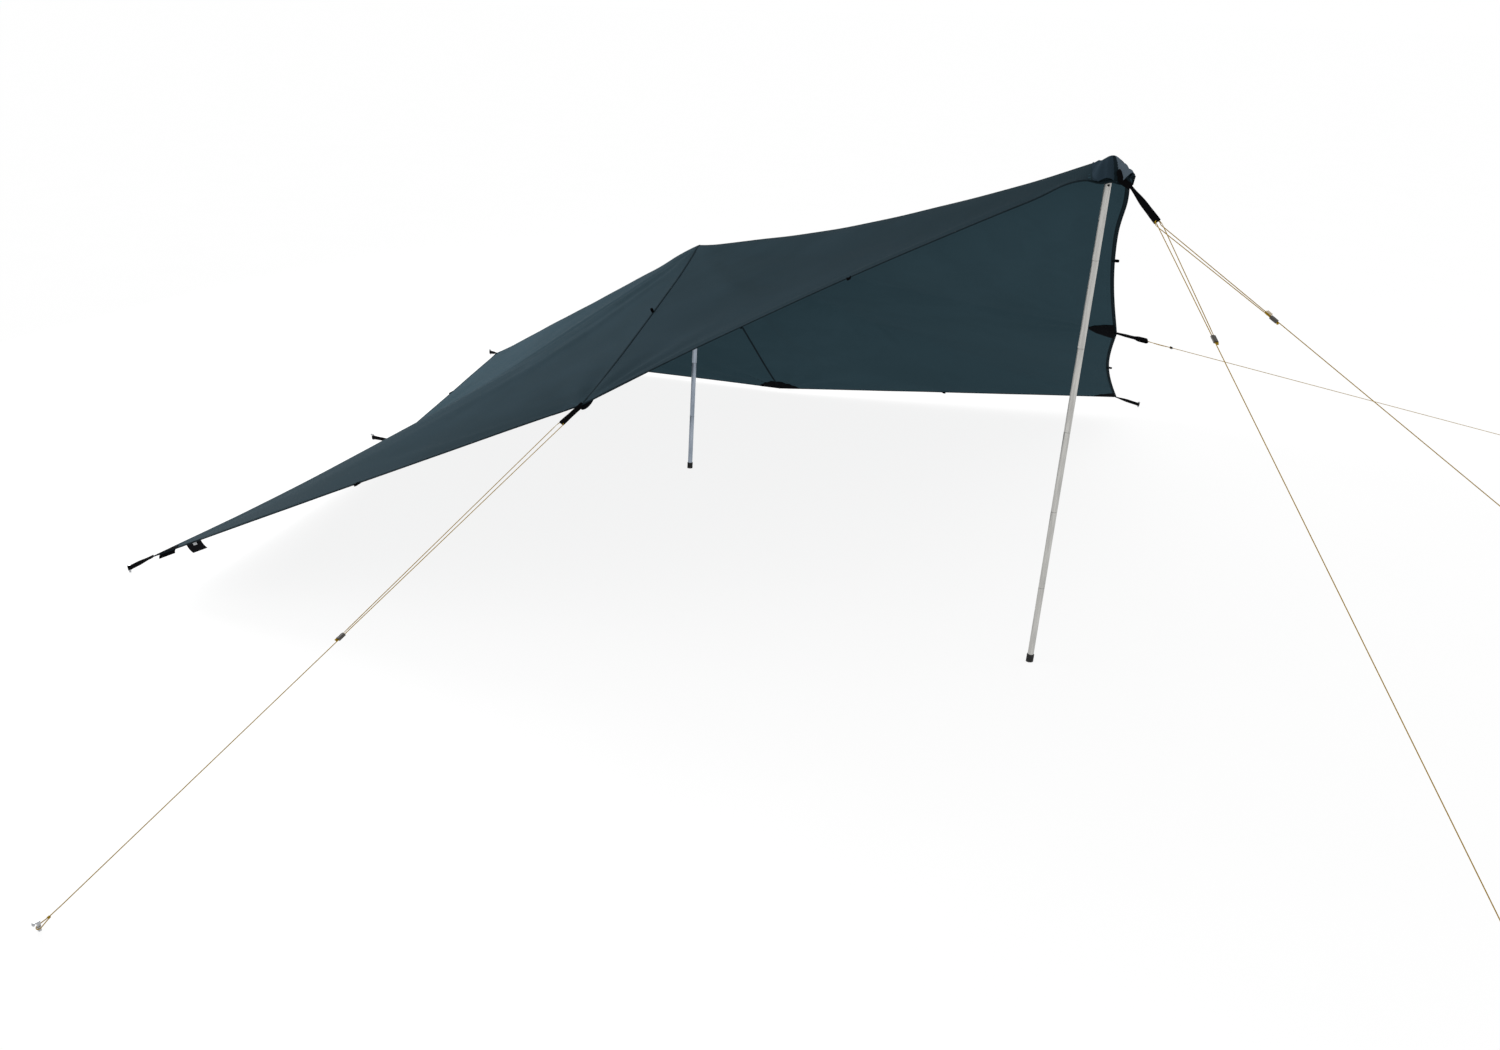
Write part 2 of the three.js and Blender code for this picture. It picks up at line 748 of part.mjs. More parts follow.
// One guyline: the standing part from the webbing to its peg and, where it has a runner,
// the doubled part from the webbing back to the runner.
function addGuyline(name, loop, peg, side, lift, runnerDistance) {
  const start = vector(loop.start);
  const end = vector(loop.end);
  const out = end.clone().sub(start).normalize();
  const across = loop.across.clone().addScaledVector(out, -loop.across.dot(out));
  across.normalize();
  const up = out.clone().cross(across);
  const gather = end
    .clone()
    .addScaledVector(out, LINE_START)
    .addScaledVector(up, lift);
  const half = WEBBING_WIDTH / 2 + CORD_DIAMETER;
  const standing = gather.clone().addScaledVector(across, side * half);
  const pegPoint = vector(peg).setZ(PEG_LINE_HEIGHT);
  const direction = pegPoint.clone().sub(standing).normalize();
  const lineEnd = pegPoint
    .clone()
    .addScaledVector(direction, -PEG_SHAFT / 2 - CORD_DIAMETER);
  addTube(`${name}_guyline`, [standing, lineEnd]);
  addPeg(`${name}_guyline_peg`, vector(peg), start);
  if (!runnerDistance) return;
  const doubled = gather.clone().addScaledVector(across, -side * half);
  const toDoubled = doubled.clone().sub(standing);
  toDoubled.addScaledVector(direction, -toDoubled.dot(direction)).normalize();
  const centre = standing
    .clone()
    .addScaledVector(direction, runnerDistance)
    .addScaledVector(toDoubled, RUNNER.pitch / 2);
  addTube(`${name}_guyline_doubled_part`, [
    doubled,
    centre
      .clone()
      .addScaledVector(toDoubled, RUNNER.pitch / 2)
      .addScaledVector(direction, -RUNNER.length / 2 - 1),
  ]);
  addRunner(`${name}_line_runner`, centre, direction, toDoubled);
}

function addRunner(name, centre, direction, across) {
  const { length, width, thickness, hole, pitch } = RUNNER;
  const shape = new THREE.Shape();
  const radius = thickness / 2;
  const flat = width / 2 - radius;
  shape.moveTo(-flat, -radius);
  shape.lineTo(flat, -radius);
  shape.absarc(flat, 0, radius, -Math.PI / 2, Math.PI / 2);
  shape.lineTo(-flat, radius);
  shape.absarc(-flat, 0, radius, Math.PI / 2, (3 * Math.PI) / 2);
  [-pitch / 2, pitch / 2].forEach((x) => {
    const bore = new THREE.Path();
    bore.absarc(x, 0, hole / 2, 0, 2 * Math.PI, true);
    shape.holes.push(bore);
  });
  const geometry = new THREE.ExtrudeGeometry(shape, {
    depth: length,
    bevelEnabled: false,
    curveSegments: 8,
  }).translate(0, 0, -length / 2);
  const mesh = addMesh(name, geometry, "plastic");
  aim(mesh, centre, centre.clone().add(across), direction);
}

addGuyline(
  "front_left",
  guyedLoops.front,
  FRONT_LEFT_PEG,
  -1,
  3,
  FRONT_LEFT_RUNNER_DISTANCE,
);
addGuyline(
  "front_right",
  guyedLoops.front,
  FRONT_RIGHT_PEG,
  1,
  -3,
  FRONT_RIGHT_RUNNER_DISTANCE,
);
addGuyline("left", guyedLoops.left, LEFT_PEG, 1, 0, LEFT_RUNNER_DISTANCE);
addGuyline("right", guyedLoops.right, RIGHT_PEG, 1, 0, 0);

export default shelter;
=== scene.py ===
"""A square tarp shelter: one fabric canopy over two poles, with webbing loops, guylines,
runners and pegs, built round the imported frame. Metres, +Z up, origin under the centre pole."""

import json
from math import ceil, cos, pi, radians, sin, sqrt, tau

import bmesh
import bpy
import numpy as np
from mathutils import Matrix, Vector


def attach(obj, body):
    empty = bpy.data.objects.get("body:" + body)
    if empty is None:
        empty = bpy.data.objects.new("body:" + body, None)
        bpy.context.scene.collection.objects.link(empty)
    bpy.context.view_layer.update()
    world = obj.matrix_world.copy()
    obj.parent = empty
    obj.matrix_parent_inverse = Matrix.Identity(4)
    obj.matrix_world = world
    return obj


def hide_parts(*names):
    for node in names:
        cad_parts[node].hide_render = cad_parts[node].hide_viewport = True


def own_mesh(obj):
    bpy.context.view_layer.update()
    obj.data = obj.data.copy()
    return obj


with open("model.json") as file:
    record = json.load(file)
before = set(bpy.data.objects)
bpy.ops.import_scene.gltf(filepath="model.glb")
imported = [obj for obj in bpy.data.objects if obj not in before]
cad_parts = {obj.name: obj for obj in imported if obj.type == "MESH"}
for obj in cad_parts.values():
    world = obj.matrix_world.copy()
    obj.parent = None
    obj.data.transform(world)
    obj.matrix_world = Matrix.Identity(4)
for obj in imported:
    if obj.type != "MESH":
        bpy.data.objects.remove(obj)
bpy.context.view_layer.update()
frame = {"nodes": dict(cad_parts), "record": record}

scene = bpy.context.scene
scene.view_settings.view_transform = "Standard"


def arr(*values):
    return np.array(values, float)


def unit(v):
    """A vector, or each vector of an array of them, at length 1."""
    v = np.asarray(v, float)
    return v / np.linalg.norm(v, axis=-1, keepdims=True)


def mirrored(p):
    return arr(p[0], -p[1], p[2])


def grid(u, v):
    return np.meshgrid(u, v, indexing="ij")


def bell(x, middle, width):
    return np.exp(-(((x - middle) / width) ** 2))


def add_object(name, data):
    made = bpy.data.objects.new(name, data)
    scene.collection.objects.link(made)
    return made


UP = arr(0, 0, 1)

# ---- Dimensions, as in the part's source ----

SIDE = 4.4
PEAK = arr(2.935, 0, 2.035)
RAISED_CORNER = arr(3.05, 0, 1.99)
FLAP = 0.13
CENTRE = arr(0.06, 0, 1.268)
REAR_CORNER = arr(-2.805, 0, 0.034)
SIDE_CORNER = arr(0.395, 2.945, 0.152)
HIGH_EDGE_MIDDLE = arr(1.685, 1.48, 0.99)
LOW_EDGE_MIDDLE = arr(-1.11, 1.335, 0.032)
HEM_BY_POLE = arr(2.925, 0.102, 1.957)

# How hard each hem, ridge and seam pulls: as hard as that many metres' width of fabric.
RIGHT_FRONT_HEM_TENSION = 55
LEFT_FRONT_HEM_TENSION = 1.7
SIDE_HEM_TENSION = 62
REAR_HEM_TENSION = 116
FRONT_RIDGE_TENSION = 15.4
REAR_RIDGE_TENSION = 132
SEAM_TENSION = 10
CROSS_TENSION = 7.6
FABRIC_WEIGHT = 0.17

WEBBING_WIDTH = 0.02
FRONT_WEBBING_WIDTH = 0.025
WEBBING = 0.0014
CORD_RADIUS = 0.0015
LINE_START = 0.012
PEG_LINE_HEIGHT = 0.013
RUNNER_PITCH = 0.008
RUNNER_LENGTH = 0.028
POLE_RADIUS = 0.0125
FRONT_POLE_FOOT_X = 2.805
CENTRE_POLE_FOOT_X = 0.0
TIP_BELOW_FABRIC = 0.012

# ---- Dimensions of what the part's source leaves plain ----

CLOTH_HALF = 0.0006
RIPSTOP_PITCH = 0.006
PUCKER_PITCH = 0.034
# A patch inside the canopy lies between these depths below the fabric's middle.
PATCH_TOP = 0.0012
PATCH_BOTTOM = 0.0034
HOOD_RADIUS = 0.035
FRONT_STRAP_START = arr(3.058, -0.02, 1.947)
TIE_DISTANCE = 0.15
PATH_STEP = 0.003

# Each webbing loop: where it leaves the canopy, its far end, and the direction of its width,
# which is upright at the pegs.
GUYED_LOOPS = {
    "front": (arr(3.052, 0, 1.976), arr(3.18, 0, 1.843), arr(0, 1, 0)),
    "left": (mirrored(HIGH_EDGE_MIDDLE), arr(1.735, -1.592, 0.942), arr(1, 0.5, 0)),
    "right": (HIGH_EDGE_MIDDLE, arr(1.702, 1.697, 0.93), arr(1, -0.2, 0)),
}
PEGGED_LOOPS = {
    "left_corner": (mirrored(SIDE_CORNER), arr(0.125, -3.0, 0.014)),
    "right_corner": (SIDE_CORNER, arr(0.25, 3.335, 0.014)),
    "rear_corner": (REAR_CORNER, arr(-2.929, 0, 0.014)),
    "left_rear_edge": (mirrored(LOW_EDGE_MIDDLE), arr(-1.308, -1.407, 0.014)),
    "right_rear_edge": (LOW_EDGE_MIDDLE, arr(-1.285, 1.48, 0.014)),
}

# Each guyline: its loop, its peg, the side of the loop its standing part leaves, how far it is
# lifted off the loop's middle, and how far down the line its runner is set (0 without one).
GUYLINES = {
    "front_left": ("front", arr(6.04, -1.112, 0), -1, 0.003, 0.56),
    "front_right": ("front", arr(6.04, 1.055, 0), 1, -0.003, 0.505),
    "left": ("left", arr(2.74, -3.695, 0), 1, 0.0, 1.25),
    "right": ("right", arr(1.96, 4.96, 0), 1, 0.0, 0.0),
}

# ---- Camera ----

CAMERA_AT = arr(6.6, -3.834, 2.556)
CAMERA_YAW = radians(147.21)
CAMERA_PITCH = radians(-20.77)
CAMERA_ROLL = radians(1.84)
CAMERA_LENS = 33.99


def make_camera():
    data = bpy.data.cameras.new("camera")
    data.lens = CAMERA_LENS
    data.sensor_width = 36
    data.clip_end = 200
    yaw = Matrix.Rotation(CAMERA_YAW - pi / 2, 4, "Z")
    pitch = Matrix.Rotation(CAMERA_PITCH + pi / 2, 4, "X")
    roll = Matrix.Rotation(CAMERA_ROLL, 4, "Z")
    scene.camera = add_object("camera", data)
    scene.camera.matrix_world = Matrix.Translation(CAMERA_AT) @ yaw @ pitch @ roll


make_camera()

# ---- Materials ----

# The colour sockets of a mix node: two inputs and the output.
MIX_A, MIX_B, MIX_RESULT = 6, 7, 2


class Field:
    """A shader value that adds, subtracts and multiplies like a number."""

    def __init__(self, material, socket):
        self.material, self.socket = material, socket

    def __add__(self, other):
        return self.material.math("ADD", self, other)

    def __sub__(self, other):
        return self.material.math("SUBTRACT", self, other)

    def __mul__(self, other):
        return self.material.math("MULTIPLY", self, other)

    def sine(self):
        return self.material.math("SINE", self)


class Material:
    """A Principled material with a short way to add nodes in front of it."""

    def __init__(self, name, **sockets):
        self.made = bpy.data.materials.new(name)
        self.made.use_nodes = True
        self.tree = self.made.node_tree
        self.bsdf = self.tree.nodes["Principled BSDF"]
        for key, value in sockets.items():
            self.bsdf.inputs[key.replace("_", " ")].default_value = value

    def put(self, socket, value):
        value = value.socket if isinstance(value, Field) else value
        if isinstance(value, bpy.types.NodeSocket):
            self.tree.links.new(value, socket)
        elif value is not None:
            socket.default_value = value

    def node(self, kind, inputs=None, **settings):
        """A new node, with the values or sources of its inputs by name or number."""
        made = self.tree.nodes.new("ShaderNode" + kind)
        for key, value in settings.items():
            setattr(made, key, value)
        for key, value in (inputs or {}).items():
            self.put(made.inputs[key], value)
        return made

    def math(self, operation, *inputs):
        made = self.node("Math", dict(enumerate(inputs)), operation=operation)
        return Field(self, made.outputs[0])

    def coords(self):
        """The sheet's own coordinates in metres, which also place the noise."""
        self.vector = self.node("Attribute", attribute_name="cloth").outputs["Vector"]
        return [Field(self, socket) for socket in self.node("SeparateXYZ", {0: self.vector}).outputs]

    def ramp(self, value, low, high, low_out=0.0, high_out=1.0):
        inputs = dict(enumerate((value, low, high, low_out, high_out)))
        return Field(self, self.node("MapRange", inputs, interpolation_type="SMOOTHSTEP").outputs[0])

    def noise(self, scale, detail, roughness=0.5, vector=None):
        vector = self.vector if vector is None else vector
        inputs = {"Vector": vector, "Scale": scale, "Detail": detail, "Roughness": roughness}
        return Field(self, self.node("TexNoise", inputs).outputs["Fac"])

    def mix(self, factor, a, b):
        return self.node("Mix", {0: factor, MIX_A: a, MIX_B: b}, data_type="RGBA").outputs[MIX_RESULT]

    def bump(self, height, strength, distance, before=None):
        inputs = {"Strength": strength, "Distance": distance, "Height": height, "Normal": before}
        return self.node("Bump", inputs).outputs[0]

    def finish(self, color, roughness, normal=None):
        for key, value in (("Base Color", color), ("Roughness", roughness), ("Normal", normal)):
            self.put(self.bsdf.inputs[key], value)
        return self.made


def rgb(r, g, b):
    """A linear colour from screen values between 0 and 255."""
    values = [c / 255 for c in (r, g, b)]
    linear = [c / 12.92 if c < 0.04045 else ((c + 0.055) / 1.055) ** 2.4 for c in values]
    return (*linear, 1.0)


def woven(name, color, light, thread, depth, roughness):
    """A plain weave of threads that far apart, with soft blotches of a lighter colour."""
    m = Material(name, IOR=CLOTH_IOR)
    x, y, _ = m.coords()
    turn = tau / thread
    weave = (x * turn).sine() * (y * turn + pi / 2).sine()
    cloud = m.noise(9.0, 3.0)
    tint = m.mix(weave * 0.12 + cloud * 0.65, color, light)
    return m.finish(tint, cloud * 0.16 + (roughness - 0.08), m.bump(weave, 0.6, depth))


def canopy_fabric(name, color, light, roughness, creasing):
    """Coated ripstop: a raised grid of threads, puckers beside seams and hems, and faint creases."""
    m = Material(name, IOR=CLOTH_IOR)
    x, y, edge = m.coords()
    phases = [m.math("PINGPONG", value, RIPSTOP_PITCH / 2) for value in (x, y)]
    ripstop = m.math("MAXIMUM", *[m.ramp(phase, 0.0, 0.0007, 1.0, 0.0) for phase in phases])
    near_seam = m.ramp(m.math("ABSOLUTE", x - SIDE / 2), 0.008, 0.06, 1.0, 0.0)
    near_hem = m.ramp(edge, 0.012, 0.07, 1.0, 0.0)
    wander = m.noise(5.0, 1.0) * 9.0
    across, along = [(value * (tau / PUCKER_PITCH) + wander).sine() for value in (x, y)]
    pucker = along * near_seam + across * near_hem + along * near_hem
    crease = m.noise(2.6, 5.0, 0.62)
    handled = m.ramp(crease, 0.47, 0.53)
    cloud = m.noise(0.9, 3.0)
    tint = m.mix(cloud * 0.9 + handled * 0.12 - 0.1, color, light)
    tint = m.mix(ripstop * 0.12, tint, rgb(70, 88, 98))
    normal = m.bump(crease, creasing, 0.006)
    normal = m.bump(pucker, 0.35, 0.0016, normal)
    normal = m.bump(ripstop, 0.35, 0.00022, normal)
    return m.finish(tint, handled * 0.07 + (roughness - 0.03), normal)


def stitched(name, color, light, thread_color, rows, roughness):
    """A folded strip with one or two rows of stitches at those distances from its middle line."""
    m = Material(name, IOR=CLOTH_IOR)
    along, across, _ = m.coords()
    turn = tau / 0.0011
    weave = (along * turn).sine() * (across * turn).sine()
    dash = m.ramp(m.math("PINGPONG", along, 0.0016), 0.0002, 0.0006)
    gaps = [m.math("ABSOLUTE", across - row) for row in rows]
    lines = [m.ramp(gap, 0.0003, 0.0008, 1.0, 0.0) * dash for gap in gaps]
    stitches = m.math("MAXIMUM", lines[0], lines[-1])
    cloud = m.noise(14.0, 3.0)
    tint = m.mix(stitches, m.mix(cloud, color, light), thread_color)
    groove = m.bump(weave * 0.15 - stitches, 0.6, 0.0006)
    return m.finish(tint, cloud * 0.14 + (roughness - 0.07), groove)


def metal_tube(name, color, light, roughness):
    """Drawn satin tube: streaks along it, small scuffs, and a duller haze in places."""
    m = Material(name, Metallic=0.85)
    along, around, _ = m.coords()
    stretched = m.node("CombineXYZ", {0: along * 1.5, 1: around * 900.0}).outputs[0]
    streak = m.noise(1.0, 4.0, 0.6, stretched)
    haze = m.noise(7.0, 4.0, 0.6)
    scuff = m.ramp(m.noise(60.0, 6.0, 0.7), 0.62, 0.7)
    tint = m.mix(m.ramp(haze, 0.3, 0.75), color, light)
    tint = m.mix(scuff * 0.35, tint, rgb(120, 120, 118))
    normal = m.bump(scuff, 0.2, 0.0001, m.bump(streak, 0.15, 0.0002))
    return m.finish(tint, streak * 0.16 + scuff * 0.15 + (roughness - 0.08), normal)


def moulded(name, color, light, roughness, grain, depth, metallic=0.0):
    """Plastic, rubber or forged metal with a fine grain and edges rubbed lighter."""
    m = Material(name, Specular_IOR_Level=0.4, Metallic=metallic)
    m.vector = m.node("TexCoord").outputs["Object"]
    wear = m.ramp(m.noise(grain / 12, 5.0, 0.7), 0.52, 0.7)
    rubbed = m.ramp(m.node("NewGeometry").outputs["Pointiness"], 0.52, 0.6) * 0.5
    tint = m.mix(m.math("MAXIMUM", rubbed, wear * 0.4), color, light)
    return m.finish(tint, wear * 0.15 + roughness, m.bump(m.noise(grain, 3.0, 0.6), 0.4, depth))


def braided(name, color, light, fleck):
    """A braided cord: two sets of strands winding round it opposite ways, with a tracer fleck."""
    m = Material(name, IOR=CLOTH_IOR)
    along, around, _ = m.coords()
    turns = around * (8 * tau)
    run = along * (tau / 0.0021)
    braid = m.math("MAXIMUM", (run + turns).sine(), (run - turns).sine())
    tracer = m.ramp((run * 0.25 + turns).sine(), 0.86, 0.95)
    tint = m.mix(m.ramp(braid, -0.4, 1.0), color, light)
    tint = m.mix(tracer * 0.45, tint, fleck)
    return m.finish(tint, 0.7, m.bump(braid, 0.7, 0.0004))


CLOTH_IOR = 1.02
OUTER = canopy_fabric("outer_fabric", rgb(26, 38, 43), rgb(41, 53, 60), 0.6, 0.35)
# The inner face is paler and more saturated than the outer: painted light, standing in for light shining
# through the fabric.
INNER = canopy_fabric("inner_fabric", rgb(36, 54, 61), rgb(46, 65, 73), 0.7, 0.12)
# The hem material also paints the dark strip of shade down the fold at the raised corner.
HEM_AND_FOLD_SHADE = stitched("hem_fabric_and_painted_fold_shade", rgb(14, 23, 27), rgb(26, 36, 41), rgb(12, 15, 17), (-0.005, 0.005), 0.66)
BLACK_PATCH = woven("black_reinforcement", rgb(7, 8, 10), rgb(20, 21, 24), 0.0016, 0.0002, 0.78)
# The flap's patch is a paler reinforcement, painted lighter still: painted light where the flap faces up.
PALE_AND_LIT_FLAP_PATCH = woven("corner_reinforcement_with_painted_light", rgb(64, 76, 86), rgb(100, 111, 120), 0.0014, 0.00012, 0.5)
CAP_PATCH = woven("pole_cap_reinforcement", rgb(26, 38, 46), rgb(50, 63, 73), 0.0014, 0.00012, 0.45)
STRAP = woven("webbing", rgb(6, 6, 7), rgb(20, 20, 22), 0.0032, 0.0005, 0.72)
LABEL = stitched("label_fabric", rgb(16, 16, 18), rgb(24, 24, 27), rgb(60, 60, 62), (-0.017,), 0.6)
LABEL_MARK = woven("label_mark", rgb(150, 152, 155), rgb(190, 192, 194), 0.001, 0.0001, 0.7)
FRONT_METAL = metal_tube("front_pole_metal", rgb(172, 171, 168), rgb(196, 195, 191), 0.42)
CENTRE_METAL = metal_tube("centre_pole_metal", rgb(134, 144, 156), rgb(170, 178, 190), 0.4)
RUBBER = moulded("black_rubber", rgb(17, 17, 18), rgb(48, 47, 46), 0.75, 900.0, 0.0002)
PLASTIC = moulded("dark_plastic", rgb(42, 40, 37), rgb(72, 68, 62), 0.5, 1200.0, 0.0001)
CORD = braided("gold_cord", rgb(126, 98, 14), rgb(176, 142, 34), rgb(84, 64, 14))
# Dark for the joint rings, and for the painted shadow disc near the front pole's top.
DARK = moulded("dark_joints_and_painted_shadow", rgb(12, 12, 13), rgb(20, 20, 21), 0.9, 500.0, 0.0001)
DARK_CORD = braided("dark_cord", rgb(30, 29, 28), rgb(58, 56, 52), rgb(90, 84, 70))
THREAD = braided("black_thread", rgb(8, 8, 9), rgb(34, 34, 36), rgb(50, 50, 52))
PEG_ALLOY = moulded("peg_alloy", rgb(140, 142, 146), rgb(186, 188, 190), 0.35, 700.0, 0.00008, 0.9)

# ---- Meshes: a shell is its verts, its faces and the "cloth" coordinates its materials read ----


def build(name, shell, materials, groups=None, sharp=35):
    """A mesh object from a shell. groups gives each face's material, sharp the angle of hard edges."""
    verts, faces, coords = shell
    mesh = bpy.data.meshes.new(name)
    mesh.from_pydata(np.asarray(verts).tolist(), [], faces)
    layer = mesh.attributes.new("cloth", "FLOAT_VECTOR", "POINT")
    layer.data.foreach_set("vector", np.asarray(coords, np.float32).ravel())
    for material in materials:
        mesh.materials.append(material)
    if groups is not None:
        mesh.polygons.foreach_set("material_index", np.asarray(groups, np.int32))
    work = bmesh.new()
    work.from_mesh(mesh)
    bmesh.ops.recalc_face_normals(work, faces=work.faces)
    work.to_mesh(mesh)
    work.free()
    mesh.shade_smooth()
    if sharp:
        mesh.set_sharp_from_angle(angle=radians(sharp))
    return add_object(name, mesh)


def place(piece, slot, *replaced, body="shelter"):
    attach(piece, body)
    if replaced:
        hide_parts(*replaced)
    return piece


def add(name, shell, material, slot, *replaced, body="shelter", sharp=35):
    """A piece of one material, placed on a body."""
    return place(build(name, shell, [material], sharp=sharp), slot, *replaced, body=body)


def travelled(points):
    """The distance along a path to each of its points."""
    return np.concatenate([[0], np.cumsum(np.linalg.norm(np.diff(points, axis=0), axis=1))])


def sweep(points, across, profile, closed=False):
    """The shell of a closed profile of (across, up) pairs carried along points."""
    points, profile = np.asarray(points, float), np.asarray(profile, float)
    count, corners = len(points), profile.shape[-2]
    ringed = np.roll(points, -1, 0) - np.roll(points, 1, 0)
    tangents = unit(ringed if closed else np.gradient(points, axis=0))
    across = np.broadcast_to(np.asarray(across, float), points.shape)
    sides = unit(across - tangents * (across * tangents).sum(1)[:, None])
    normals = np.cross(tangents, sides)
    profile = np.broadcast_to(profile, (count, corners, 2))
    verts = points[:, None] + profile[..., :1] * sides[:, None] + profile[..., 1:] * normals[:, None]
    verts = verts.reshape(-1, 3)
    faces = []
    for i in range(count if closed else count - 1):
        for j in range(corners):
            a, b = i * corners + j, i * corners + (j + 1) % corners
            faces.append((a, b, (b + corners) % len(verts), (a + corners) % len(verts)))
    if not closed:
        faces.append(list(range(corners))[::-1])
        faces.append(list(range(len(verts) - corners, len(verts))))
    coords = np.zeros((count, corners, 3))
    coords[..., 0] = travelled(points)[:, None]
    coords[..., 1] = np.arange(corners) / corners
    coords[..., 2] = profile[..., 0]
    return verts, faces, coords.reshape(-1, 3)


def circle(radius, sides):
    angles = np.arange(sides) / sides * tau
    return np.stack([radius * np.cos(angles), radius * np.sin(angles)], 1)


def strip_profile(width, thickness):
    """A flat strip with rounded edges, as (across, up) pairs."""
    w, t = width / 2, thickness / 2
    angles = np.linspace(-pi / 2, pi / 2, 5)
    half = [(w - t * (1 - cos(a)), t * sin(a)) for a in angles]
    half += [(0.5 * w, t), (0.0, t), (-0.5 * w, t)]
    return half + [(-x, -y) for x, y in half]


def strip(points, across, widths, thickness):
    """The shell of a flat strip along points, with coords along and across it."""
    profile = [strip_profile(width, thickness) for width in np.broadcast_to(widths, len(points))]
    verts, faces, coords = sweep(points, across, profile)
    coords[:, 1] = coords[:, 2]
    return verts, faces, coords


def tube(points, radius, sides):
    """The shell of a round cord along points, with rounded ends."""
    scales = np.ones((len(points), 1, 1))
    scales[[0, -1]] = 0.6
    return sweep(points, arr(0.37, -0.29, 0.88), circle(radius, sides) * scales)


def smooth_path(points, step=PATH_STEP):
    """Points at about that spacing along a curve through the given ones."""
    p = np.asarray(points, float)
    ends = np.vstack([2 * p[0] - p[1], p, 2 * p[-1] - p[-2]])
    out = []
    for k in range(len(p) - 1):
        a, b, c, d = ends[k : k + 4]
        square, cube = 2 * a - 5 * b + 4 * c - d, 3 * b - a - 3 * c + d
        count = max(2, int(ceil(np.linalg.norm(c - b) / step)))
        for u in np.arange(count) / count:
            out.append(0.5 * (2 * b + (c - a) * u + square * u**2 + cube * u**3))
    return np.array([*out, p[-1]])


# ---- Guylines: gold cords from the webbing loops to their pegs ----


def loop_frame(start, end, across):
    """The direction a loop points in, the direction of its width, and the one square to both."""
    out = unit(end - start)
    across = unit(across - out * (across @ out))
    return out, across, np.cross(out, across)


def cord(name, route, exit_at, length, far_end, *replaced, with_pieces=()):
    piece = add(name, tube(route, CORD_RADIUS, 10), CORD, "cord", *replaced)
    return piece


def knot(name, at, axis, material, size, body="shelter"):
    """A tight overhand knot: a tube along a trefoil, turned so that the cord runs along axis."""
    turn = np.linspace(0, tau, 73)[:-1, None]
    reach = 0.0011 * size
    side = unit(np.cross(axis, arr(0.2, 0.9, 0.4)))
    away = reach * (np.sin(turn) + 2 * np.sin(2 * turn)) * side
    away = away + reach * (np.cos(turn) - 2 * np.cos(2 * turn)) * axis
    away = away - 1.6 * reach * np.sin(3 * turn) * np.cross(axis, side)
    shell = sweep(at + away, away, circle(CORD_RADIUS * min(size, 1.3), 8), closed=True)
    return add(name, shell, material, "cord", body=body, sharp=None)


def hitch(start, peg):
    """The end of a guyline: straight to its peg, once round it, and back to a knot on the line."""
    eye, apart = 0.0085, 0.0016
    centre = arr(peg[0], peg[1], PEG_LINE_HEIGHT)
    back = unit(start - centre)
    side = unit(np.cross(UP, back))
    level = np.cross(side, back)
    throat = centre + 0.034 * back
    angles = np.radians(np.linspace(76, 284, 13))[:, None]
    ring = centre + eye * (np.cos(angles) * back + np.sin(angles) * side) + 0.0005 * level
    out_leg = np.linspace(throat + apart * side, ring[0], 9)[:-1]
    back_leg = np.linspace(ring[-1], throat - apart * side + 0.001 * level, 9)[1:]
    return throat, np.vstack([out_leg, ring, back_leg])


def guyline(name):
    loop, peg, side, lift, set_at = GUYLINES[name]
    start, end, across = GUYED_LOOPS[loop]
    out, across, up = loop_frame(start, end, across)
    across = across * side
    gather = end + out * LINE_START + up * lift
    half, turn_in = WEBBING_WIDTH / 2 + 2 * CORD_RADIUS, 0.0016
    standing, doubled = gather + across * half, gather - across * half
    fold = end - out * 0.0045 + up * 0.45 * lift
    throat, ring = hitch(standing, peg)
    down = unit(throat - standing)
    first = [
        doubled,
        end + up * 0.45 * lift - across * (half - turn_in),
        fold - across * half * 0.5,
        fold,
        fold + across * half * 0.5,
        end + up * 0.45 * lift + across * (half - turn_in),
        standing,
        standing + down * 0.02,
    ]
    span = np.linalg.norm(throat - standing)
    straight = np.linspace(standing + 0.06 * down, throat - 0.04 * down, int(span / 0.06))
    route = np.vstack([smooth_path(first, 0.004)[:-1], straight, smooth_path(ring, 0.004)])
    length = round(travelled(route)[-1], 2)
    pieces = [knot(f"{name}_peg_hitch", throat, down, CORD, 1.15)]
    if not set_at:
        tie = standing + down * TIE_DISTANCE
        pieces.append(knot(f"{name}_line_knot", tie, down, DARK_CORD, 2.3))
        back = smooth_path([doubled, (doubled + tie) / 2 - 0.003 * UP, tie], 0.01)
        pieces.append(add(f"{name}_line_return", tube(back, CORD_RADIUS, 10), CORD, "cord"))
    cord(f"{name}_line", route, doubled, length, "object", f"{name}_guyline", with_pieces=pieces)
    if set_at:
        doubled_part(name, standing, doubled, down, set_at)


def doubled_part(name, standing, doubled, down, set_at):
    """The strand that comes back up from a line's runner, and the knot that stops it there."""
    to_doubled = doubled - standing
    to_doubled = unit(to_doubled - down * (to_doubled @ down))
    centre = standing + down * set_at
    beyond = centre + to_doubled * RUNNER_PITCH
    finish = beyond - down * (RUNNER_LENGTH / 2 + 0.001)
    joints = {joint["name"]: joint for joint in frame["record"]["behaviour"]["joints"]}
    travel = max(map(abs, joints[f"{name}_runner_slide"]["range_m"]))
    span = np.linalg.norm(finish - doubled)
    route = np.linspace(doubled, finish, max(8, int(span / 0.03)))
    node = f"{name}_guyline_doubled_part"
    piece = cord(f"{name}_line_doubled", route, doubled, round(float(span), 2), "knot", node)
    keep = 1 - travel / span
    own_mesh(piece)
    behind = beyond + down * (RUNNER_LENGTH / 2 + 0.004)
    knot(f"{name}_runner_knot", behind, down, CORD, 1.2, f"{name}_runner")
    if name == "front_right":
        wrapped_tail(f"{name}_runner_tail", centre - to_doubled * 0.003 - down * 0.038, down)


